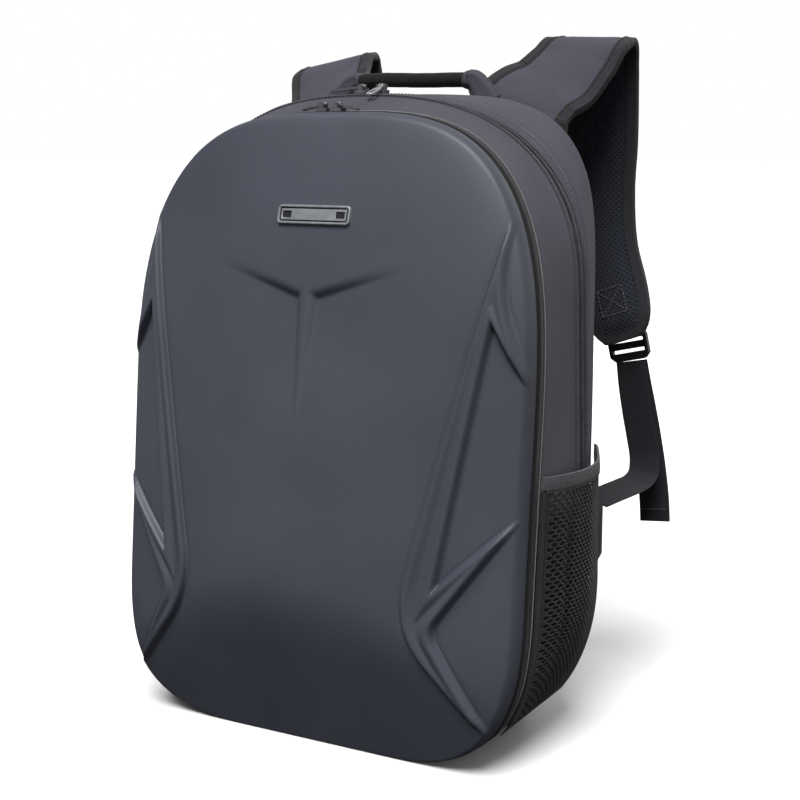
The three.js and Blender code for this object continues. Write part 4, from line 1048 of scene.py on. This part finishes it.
def pockets():
    for label, side in SIDES.items():
        first = POCKET["band"] - 0.01
        net = net_sheet(side, first).build(f"pocket_net_{label}")
        tidy_net(net)
        place(net, "mesh", "pocket_mesh", f"side_pocket_{label}")
        rows = np.linspace(0.0, POCKET["band"], 12)
        down, across = np.meshgrid(rows, np.linspace(0.0, 1.0, 60), indexing="ij")
        ribs = ELASTIC["rib"] * np.sin(across * ELASTIC["ribs"]) * (down / POCKET["band"])
        swell = ELASTIC["swell"] * np.sin(np.pi * down / POCKET["band"]) + ribs
        outer = pocket_point(side, down, across, ELASTIC["front"] + swell)
        inner = pocket_point(side, down, across, ELASTIC["behind"])
        band = cloth_wall(f"pocket_band_elastic_{label}", outer, inner, "band", "elastic_band",
                          f"pocket_band_{label}")
        row = outer[-3]
        normals = grid_normals(outer)[-3]
        normals = normals * np.sign(normals[:, :1] * side)
        stitch = stitches(Shape(), row, normals, pitch=3.2, length=2.2)
        place(stitch.build(f"pocket_band_stitches_{label}"), "dark_thread", "elastic_band")
        rows = np.linspace(first, POCKET["hem_end"], 60)
        down, across = np.meshgrid(rows, np.linspace(0.0, POCKET["hem"], 4), indexing="ij")
        for end, hem, look in (("front", across, "binding"), ("rear", 1.0 - across, "cloth")):
            outer = pocket_point(side, down, hem, POCKET["hem_half"])
            inner = pocket_point(side, down, hem, -POCKET["hem_half"])
            cloth_wall(f"pocket_hem_{end}_{label}", outer, inner, look, "pocket_mesh")


# Padding: sewn skins that swell between their seams
SKIN = dict(quality=6, mass=0.2, tension_stiffness=25, compression_stiffness=25, shear_stiffness=10,
            bending_stiffness=2.0, air_damping=4.0, vertex_group_mass="sewn", use_pressure=True)
FILL_STEPS = 20
PUFFED = []


def puff(obj, pinned, pressure, cap):
    """Sewn pad to be filled. pinned: how firmly each point is sewn down, cap: largest swell."""
    group = obj.vertex_groups.new(name="sewn")
    for i, weight in enumerate(pinned):
        if weight > 0.01:
            group.add([i], float(weight), "REPLACE")
    PUFFED.append((obj, pressure, cap))


def fill_pads():
    """Swell the pads between their seams, then round them once more."""
    for obj, pressure, _ in PUFFED:
        cloth = obj.modifiers.new("fill", "CLOTH")
        for setting, value in SKIN.items():
            setattr(cloth.settings, setting, value)
        cloth.settings.uniform_pressure_force = pressure
        cloth.settings.effector_weights.gravity = 0.0
        cloth.collision_settings.use_collision = False
        cloth.point_cache.frame_end = FILL_STEPS
    for step in range(1, FILL_STEPS + 1):
        scene.frame_set(step)
    graph = bpy.context.evaluated_depsgraph_get()
    for obj, _, cap in PUFFED:
        filled = obj.evaluated_get(graph).data
        moved = np.empty(len(filled.vertices) * 3, np.float32)
        filled.vertices.foreach_get("co", moved)
        start = np.empty_like(moved)
        obj.data.vertices.foreach_get("co", start)
        step = (moved - start).reshape(-1, 3)
        reach = np.linalg.norm(step, axis=1, keepdims=True)
        step = step * np.minimum(1.0, cap * MM / np.maximum(reach, 1e-9))
        obj.data.vertices.foreach_set("co", (start.reshape(-1, 3) + step).ravel())
    for obj, _, _ in PUFFED:
        obj.modifiers.remove(obj.modifiers["fill"])
    scene.frame_set(1)
    for obj, _, _ in PUFFED:
        obj.vertex_groups.clear()
        obj.data.update()
        finer = obj.modifiers.new("finer", "SUBSURF")
        finer.levels = 1
        finer.render_levels = 1


# Shoulder straps
class StrapForm:
    """Strap as a surface: distance along it, across it and off its middle."""

    def __init__(self, side):
        rows = STRAP_ROWS.copy()
        if side < 0:
            high = smooth(STRAP["drop_from"], STRAP["drop_to"], rows[:, 2])
            rows[:, 2] -= STRAP["left_drop"] * high
            rows[:, 3] += STRAP["left_wider"] * high
            rows[:, 4] += STRAP["left_dip"] * high
        self.s, table, self.middle, along, self.across = ribbon(rows, side, 400)
        self.length = self.s[-1]
        self.half = table[:, 3] / 2 + STRAP["edge_out"]
        self.normal = unit(np.cross(self.across, along)) * side

    def at(self, s, a, n):
        s, a, n = np.broadcast_arrays(s, a, n)
        tables = (self.middle, self.across, self.normal)
        middle, across, normal = (look_up(s, self.s, table) for table in tables)
        return middle + across * a[..., None] + normal * n[..., None]

    def width(self, s):
        return np.interp(s, self.s, self.half)

    def inside(self, s, a):
        """Distance from the nearest edge of the strap."""
        return np.minimum(self.width(s) - np.abs(a), np.minimum(s, self.length - s) + 1.0)

    def thick(self, s, a):
        slope = smooth(0.0, STRAP["slope"], self.inside(s, a))
        return lerp(STRAP["edge_thick"], STRAP["middle_thick"], slope)


def strap_outline(form):
    """Closed line round the strap in its flat coordinates, with rounded corners."""
    s = np.linspace(0.0, form.length, 160)
    right = np.stack([s, form.width(s)], 1)
    left = np.stack([s, -form.width(s)], 1)[::-1]
    across = np.linspace(1, -1, 14)[1:-1]
    foot = np.stack([np.full(len(across), form.length), across * form.width(form.length)], 1)
    head = np.stack([np.zeros(len(across)), -across * form.width(0.0)], 1)
    line = np.concatenate([right, foot, left, head])
    for _ in range(14):
        line = 0.5 * line + 0.25 * (np.roll(line, 1, axis=0) + np.roll(line, -1, axis=0))
    return line


def flat_inward(line):
    way = np.roll(line, -1, axis=0) - np.roll(line, 1, axis=0)
    way = way / np.linalg.norm(way, axis=1, keepdims=True)
    normal = np.stack([-way[:, 1], way[:, 0]], 1)
    return normal * np.sign(np.sum((line.mean(axis=0) - line) * normal))


def strap_pad(form, label):
    columns = 19
    s = np.linspace(0.5, form.length - 0.5, 100)
    across = np.linspace(-1.0, 1.0, columns)
    a = across[None, :] * (form.width(s)[:, None] - 0.6)
    top = form.at(s[:, None], a, form.thick(s[:, None], a))
    under = form.at(s[:, None], a, -form.thick(s[:, None], a))
    loops = np.concatenate([top, under[:, ::-1]], axis=1)
    uv = np.concatenate([np.stack(np.broadcast_arrays(s[:, None], a), -1)] * 2, axis=1)
    uv[:, columns:] = uv[:, columns:][:, ::-1]
    pad = skin(f"strap_pad_{label}", loops, "cloth", "cloth", f"shoulder_strap_{label}", uv=uv)
    inside = form.inside(uv[..., 0], uv[..., 1])
    pinned = 1.0 - smooth(STRAP["bound"] - 3.0, STRAP["bound"] + 5.0, inside)
    puff(pad, pinned.ravel(), **STRAP_FILL)


def strap_lining(form, label):
    """Mesh layer over the side toward the wearer."""
    s = np.linspace(LINING["margin"], form.length - LINING["margin"], 150)
    a = np.linspace(-1.0, 1.0, 24)[None, :] * (form.width(s)[:, None] - LINING["margin"])
    swell = smooth(STRAP["bound"] - 2, STRAP["bound"] + 10, form.inside(s[:, None], a))
    stand = form.thick(s[:, None], a) + LINING["stand"] + LINING["swell"] * swell
    outer = form.at(s[:, None], a, -stand)
    inner = form.at(s[:, None], a, -stand + LINING["thick"])
    uv = np.stack(np.broadcast_arrays(s[:, None], a), -1)
    piece = cloth_wall(f"strap_mesh_{label}", outer, inner, "lining", "strap_mesh", f"strap_lining_{label}",
                       uv=uv)


def strap_binding(form, label):
    """Folded tape round the edge of the strap, stitched on both faces."""
    line = strap_outline(form)
    inward = flat_inward(line)
    ring = []
    for face in (1, -1):
        for step in (BINDING_REACH if face > 0 else BINDING_REACH[::-1][1:]):
            p = line + inward * step
            n = face * form.thick(np.clip(p[:, 0], 0, form.length), p[:, 1]) * (0.0 if step == 0 else 1.0)
            lift = 0.9 if step < STRAP["bound"] else 0.5
            out = p - inward * (0.8 if step == 0 else 0.25 if step < 1 else 0.0)
            ring.append((out, n + face * lift * (step > 0), p + inward * 0.5, n * 0.9))
    outer = np.stack([form.at(o[:, 0], o[:, 1], n) for o, n, _, _ in ring], 1)
    inner = np.stack([form.at(i[:, 0], i[:, 1], m) for _, _, i, m in ring], 1)
    run = path_length(np.column_stack([line, 0 * line[:, 0]]))
    uv = np.stack(np.meshgrid(run, np.arange(len(ring)) * 2.0, indexing="ij"), -1)
    piece = cloth_wall(f"strap_edge_tape_{label}", outer, inner, "binding", "binding",
                       f"strap_binding_{label}", sharp=60, closed=True, uv=uv)
    shape = Shape()
    for face in (1, -1):
        p = line + inward * (STRAP["bound"] - 1.6)
        n = face * (form.thick(np.clip(p[:, 0], 0, form.length), p[:, 1]) + 0.85)
        path = form.at(p[:, 0], p[:, 1], n)
        up = form.at(p[:, 0], p[:, 1], n + face) - path
        stitches(shape, path, unit(up), pitch=3.4, length=2.3)
    place(shape.build(f"strap_edge_stitches_{label}"), "dark_thread", "binding")


def box_stitch(form, label):
    """Sewn square with a cross where the webbing goes into the lower end of the strap."""
    middle = form.length - BOX_STITCH["from_end"]
    corners = np.array([(-1, -1), (1, -1), (1, 1), (-1, 1), (-1, -1), (1, 1), (1, -1), (-1, 1)], float)
    lines = [np.linspace(a, b, 14)[:-1] for a, b in zip(corners, corners[1:])]
    flat = np.concatenate(lines) * BOX_STITCH["half"]
    shape = Shape()
    for face, stand in ((1, BOX_STITCH["front_lift"]), (-1, BOX_STITCH["behind_lift"])):
        lift = form.thick(middle + flat[:, 0], flat[:, 1]) + stand
        path = form.at(middle + flat[:, 0], flat[:, 1], face * lift)
        up = form.at(middle + flat[:, 0], flat[:, 1], face * (lift + 1)) - path
        stitches(shape, path, unit(up), pitch=3.0, length=2.3)
    place(shape.build(f"strap_box_stitch_{label}"), "grey_thread", "strap_mesh")


# Webbing
WEB_EDGE = np.array([(1.0, 0.0), (0.97, 0.7), (0.9, 1.0), (0.45, 1.0), (0.0, 1.0), (-0.45, 1.0), (-0.9, 1.0),
                     (-0.97, 0.7), (-1.0, 0.0), (-0.97, -0.7), (-0.9, -1.0), (-0.45, -1.0), (0.0, -1.0),
                     (0.45, -1.0), (0.9, -1.0), (0.97, -0.7)])


def web(name, node, rows, side, count=60, hem=0.0, curl=0.0):
    s, _, middle, along, across = ribbon(rows, side, count)
    normal = unit(np.cross(along, across))
    half = WEBBING["width"] / 2
    thick = np.full(count, WEBBING["thick"] / 2)
    if hem:
        thick = thick * (1.0 + 0.9 * smooth(s[-1] - hem - 1.0, s[-1] - hem + 1.0, s))
    bow = curl * np.sin(math.pi * s / s[-1])
    a = WEB_EDGE[:, 0] * half
    n = WEB_EDGE[None, :, 1] * thick[:, None] + bow[:, None] * (WEB_EDGE[None, :, 0] ** 2)
    loops = middle[:, None] + across[:, None] * a[None, :, None] + normal[:, None] * n[..., None]
    uv = np.stack(np.broadcast_arrays(s[:, None], a[None, :]), -1)
    piece = skin(name, loops, "webbing", "webbing", node, uv=uv, sharp=60)
    if hem:
        flat = np.linspace(-0.86, 0.86, 20) * half
        i = int(np.argmin(np.abs(s - (s[-1] - hem + 2.5))))
        shape = Shape()
        for face in (1, -1):
            path = middle[i] + across[i] * flat[:, None] + normal[i] * face * (thick[i] + 0.05)
            stitches(shape, path, np.tile(normal[i] * face, (20, 1)), pitch=2.6, length=1.9)
        place(shape.build(name + "_hem_stitches"), "grey_thread", "webbing")


def webs():
    for label, side in SIDES.items():
        web(f"lock_strap_{label}", f"lock_webbing_{label}", LOCK_WEB_ROWS, side,
            24)
        web(f"lower_strap_{label}", f"lower_webbing_{label}", LOWER_WEB_ROWS, side,
            110, curl=0.8)
        web(f"strap_tail_{label}", f"webbing_tail_{label}", TAIL_ROWS, side,
            80, hem=13.0, curl=-0.9)


def anchor_tabs():
    """Cloth tabs in the back seam, folded over the lower end of the webbing."""
    for label, side in SIDES.items():
        t = np.linspace(0.0, 1.0, 14)
        u = np.linspace(-1.0, 1.0, 20)
        belly = TAB["belly"] * np.sin(math.pi * t)[:, None] * (1 - u**2)
        x = lerp(TAB["root"], TAB["tip"][0], t)[:, None] + belly
        y = lerp(BACK_PAD["front"], TAB["tip"][1], t)[:, None] + 0 * u
        half = lerp(TAB["root_half"], TAB["tip_half"], t)
        z = lerp(TAB["root_height"], TAB["tip_height"], t)[:, None] + half[:, None] * u
        inner = np.stack([side * x, y, z], -1)
        outer = inner + [side * TAB["thick"], 0.0, 0.0]
        piece = cloth_wall(f"anchor_cloth_{label}", outer, inner, "cloth", "cloth", f"anchor_tab_{label}")
        shape = Shape()
        stitches(shape, outer[-3], np.tile([side, 0.0, 0.0], (20, 1)), pitch=3.0)
        place(shape.build(f"anchor_stitches_{label}"), "grey_thread", "cloth")


# Padded back with sewn channels
def channel_distance(x, z):
    """Distance to the nearest sewn channel of the back panel."""
    side = BACK_CHANNELS["side"]
    lines = [np.abs(np.abs(x) - side)]
    for level in BACK_CHANNELS["levels"]:
        lines.append(np.where(np.abs(x) < side, BACK_CHANNELS["middle"], np.abs(z - level)))
    return np.min(lines, axis=0)


def back_panel():
    ring = 1.0 - np.arange(184) * 2 / 184
    shoulder, face = BACK_PAD["shoulder"], BACK_PAD["face"]
    edge = [(0.0, BACK_PAD["front"]), (0.0, shoulder - 2), (0.8, shoulder + 1),
            (3.0, face - 2.2), (6.5, face - 0.8), (BACK_PAD["edge_round"], face)]
    loops = [sampler("back", inset=BACK_PAD["inset"] + inset, depth=y)(ring) for inset, y in edge]
    last = loops[-1]
    centre = np.array([0.0, face, BACK_PAD["centre"]])
    loops += [lerp(centre, last, k) for k in np.linspace(0.965, 0.02, 38)]
    loops = np.stack(loops)
    x, z = loops[..., 0], loops[..., 2]
    away = channel_distance(x, z)
    inner = np.zeros(loops.shape[:2])
    inner[len(edge):] = 1.0
    loops[..., 1] -= BACK_CHANNELS["depth"] * np.exp(-((away / BACK_CHANNELS["width"]) ** 2)) * inner
    uv = np.stack([x, z], -1)
    piece = skin("back_panel_padded", loops, "back_mesh", "cloth", "back_panel", uv=uv)
    pinned = np.maximum(1.0 - inner, np.exp(-((away / BACK_CHANNELS["sewn"]) ** 2)))
    pinned[len(edge) - 1:len(edge) + 2] = 1.0
    puff(piece, pinned.ravel(), **BACK_FILL)


# Carrying handle
def handle():
    t = np.linspace(0.0, 1.0, 64)
    reach = HANDLE["span"] / 2 + HANDLE["tucked"]
    x = lerp(-reach, reach, t)
    z = HANDLE["height"] - HANDLE["rise"] + 4 * HANDLE["rise"] * t * (1 - t)
    z = z + HANDLE["sway"] * np.sin(t * 7.0 + 0.6)
    angle = np.arange(20) * TURN / 20
    along, around = np.meshgrid(x, 14 * angle, indexing="ij")
    radius = HANDLE["radius"] * (1.0 + HANDLE["lumps"] * ripples(21, along, around, scale=24))
    radius = radius * lerp(0.86, 1.0, smooth(0.0, 0.07, np.minimum(t, 1 - t)))[:, None]
    off_seam = (np.mod(angle + math.pi / 2, TURN) - math.pi) / 0.25
    seam = 1.0 - HANDLE["seam"] * np.exp(-(off_seam**2))
    radius = radius * seam
    loops = np.stack([x[:, None] + 0 * angle, HANDLE["depth"] + radius * np.cos(angle) * 1.05,
                      z[:, None] + radius * np.sin(angle)], -1)
    piece = skin("handle_wrap", loops, "pile", "dark_cloth", "top_handle")
    pinned = np.zeros(loops.shape[:2])
    pinned[:4] = 1.0
    pinned[-4:] = 1.0
    pinned[:, np.argmin(seam)] = 1.0
    puff(piece, pinned.ravel(), **HANDLE_FILL)


def handle_anchors():
    """Gathered cloth sleeves that hold the handle's ends, fanning out into the top seam."""
    for label, side in SIDES.items():
        t = np.linspace(0.0, 1.0, 26)
        path = spline(SLEEVE_AT, SLEEVE_PATH, t)
        tall = np.interp(t, SLEEVE_SIZE_AT, SLEEVE_TALL)
        deep = np.interp(t, SLEEVE_SIZE_AT, SLEEVE_DEEP)
        along = unit(np.gradient(path, axis=0))
        out = square_to(along, np.tile([0.0, 1.0, 0.0], (len(t), 1)))
        up = np.cross(along, out)
        angle = np.arange(36) * TURN / 36
        fade = smooth(0.0, 0.25, t)[:, None]
        pleat = 1.0 + 0.1 * np.sin(angle * 6 + 0.7)[None, :] * fade * (1 - 0.4 * t[:, None])
        loops = (path[:, None] + up[:, None] * (np.cos(angle) * tall[:, None] * pleat)[..., None]
                 + out[:, None] * (np.sin(angle) * deep[:, None] * pleat)[..., None])
        loops = loops * [side, 1, 1]
        piece = skin(f"handle_sleeve_{label}", loops, "cloth", "cloth", f"handle_anchor_{label}")
        shape = Shape()
        row = loops[4]
        normals = unit(row - row.mean(axis=0))
        stitches(shape, row, normals, pitch=2.8, length=1.8)
        place(shape.build(f"handle_sleeve_stitches_{label}"), "dark_thread", "cloth")


# Hard pieces that keep their modelled form
EDGE_ROUND = dict(lock=0.7, slider=0.35, pull=0.25)


def soften(node, look, width):
    """Rounded edges and a finish for a hard piece."""
    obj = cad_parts[node]
    obj.data.materials.clear()
    obj.data.materials.append(LOOKS[look])
    weld = obj.modifiers.new("weld", "WELD")
    weld.merge_threshold = 0.01 * MM
    bevel = obj.modifiers.new("soft edges", "BEVEL")
    bevel.width = width * MM
    bevel.segments = 3
    bevel.angle_limit = math.radians(35)
    bevel.limit_method = "ANGLE"


def hard_pieces():
    for label in SIDES:
        soften(f"ladder_lock_{label}", "plastic", EDGE_ROUND["lock"])
    for zip_name in ("main", "front"):
        for label in SIDES:
            # Painted highlight: only the main right pull gets the light metal.
            bright = "painted_highlight_metal" if (zip_name, label) == ("main", "right") else "metal"
            soften(f"{zip_name}_{label}_slider", "metal", EDGE_ROUND["slider"])
            soften(f"{zip_name}_{label}_pull", bright, EDGE_ROUND["pull"])


front_shell()
badge()
front_zip()
main_zip()
body_cloth()
pockets()
anchor_tabs()
for strap_label, strap_side in SIDES.items():
    strap = StrapForm(strap_side)
    strap_pad(strap, strap_label)
    strap_lining(strap, strap_label)
    strap_binding(strap, strap_label)
    box_stitch(strap, strap_label)
webs()
back_panel()
handle()
handle_anchors()
hard_pieces()
fill_pads()

# Floor, light and camera
FLOOR_HALF = 30.0
floor_mesh = bpy.data.meshes.new("floor")
floor_corners = [(x * FLOOR_HALF, y * FLOOR_HALF, 0) for x, y in ((-1, -1), (1, -1), (1, 1), (-1, 1))]
floor_mesh.from_pydata(floor_corners, [], [(0, 1, 2, 3)])
floor = bpy.data.objects.new("floor", floor_mesh)
floor_look = Look("pale_floor", Roughness=0.9, Specular_IOR_Level=0.1)
floor_look.shader.inputs["Base Color"].default_value = (0.92, 0.92, 0.92, 1.0)
floor_mesh.materials.append(floor_look.material)
floor.visible_diffuse = False
floor.visible_glossy = False
scene.collection.objects.link(floor)
floor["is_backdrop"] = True

# Studio: a pale band at the horizon, a softer sky and little light from below or the front left
DIM_SIDE = (-0.78, -0.62, 0.0)
DIM_LIGHT = 0.04
SKY_STOPS = [(0.46, 0.05), (0.48, 1.0), (0.545, 1.0), (0.60, 0.36)]
world = bpy.data.worlds.new("studio")
sky = Nodes(world)


def sky_range(value, low, high, to_low=0.0, to_high=1.0):
    inputs = {"Value": value, "From Min": low, "From Max": high, "To Min": to_low, "To Max": to_high}
    return sky.node("ShaderNodeMapRange", inputs, interpolation_type="SMOOTHSTEP").outputs["Result"]


way = sky.node("ShaderNodeTexCoord", {}).outputs["Generated"]
height = sky.node("ShaderNodeSeparateXYZ", {"Vector": way}).outputs["Z"]
rise = sky.node("ShaderNodeMapRange", {"Value": height, "From Min": -1.0}).outputs["Result"]
facing = sky.node("ShaderNodeVectorMath", {0: way, 1: DIM_SIDE}, operation="DOT_PRODUCT").outputs["Value"]
dim = sky.math("MULTIPLY", sky_range(facing, 0.1, 0.7), sky_range(height, 0.1, 0.22))
background = sky.tree.nodes["Background"].inputs
sky.tree.links.new(sky_range(dim, 0.0, 1.0, 1.0, DIM_LIGHT), background["Strength"])
tints = [(level, (light, light, light, 1.0)) for level, light in SKY_STOPS]
sky.tree.links.new(sky.ramp(rise, tints), background["Color"])
scene.world = world


def soft_light(name, place_m, aim_m, size, power):
    lamp = bpy.data.lights.new(name, "AREA")
    lamp.shape = "RECTANGLE"
    lamp.size, lamp.size_y = size
    lamp.energy = power
    obj = bpy.data.objects.new(name, lamp)
    obj.location = place_m
    obj.rotation_euler = (Vector(aim_m) - Vector(place_m)).to_track_quat("-Z", "Y").to_euler()
    scene.collection.objects.link(obj)


KEY_WAY = Vector((-0.1, 0.52, -1.0))
KEY_POWER = 4.4
KEY_SPREAD = 38
key_lamp = bpy.data.lights.new("key", "SUN")
key_lamp.energy = KEY_POWER
key_lamp.angle = math.radians(KEY_SPREAD)
key = bpy.data.objects.new("key", key_lamp)
key.rotation_euler = KEY_WAY.to_track_quat("-Z", "Y").to_euler()
scene.collection.objects.link(key)
soft_light("right_fill", (1.9, 0.1, 1.0), (0.0, 0.0, 0.25), (1.2, 1.2), 1.2)
soft_light("back_fill", (0.3, 2.4, 1.3), (0.0, 0.1, 0.25), (1.6, 1.2), 14.0)

CAMERA_PLACE = Vector((0.563, -0.9391, 0.4302))
CAMERA_WAY = Vector((-0.4837, 0.8583, -0.1714))
FOCAL_MM = 67.185
SENSOR_MM = 36.0
lens = bpy.data.cameras.new("camera")
lens.lens = FOCAL_MM
lens.sensor_width = SENSOR_MM
lens.clip_start = 0.01
camera = bpy.data.objects.new("camera", lens)
camera.location = CAMERA_PLACE
camera.rotation_euler = CAMERA_WAY.to_track_quat("-Z", "Y").to_euler()
scene.collection.objects.link(camera)
scene.camera = camera
scene.view_settings.view_transform = "Standard"

boxes = {"cad": cad_box, "visual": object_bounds()}
{name: [list(corner) for corner in box] for name, box in boxes.items()}
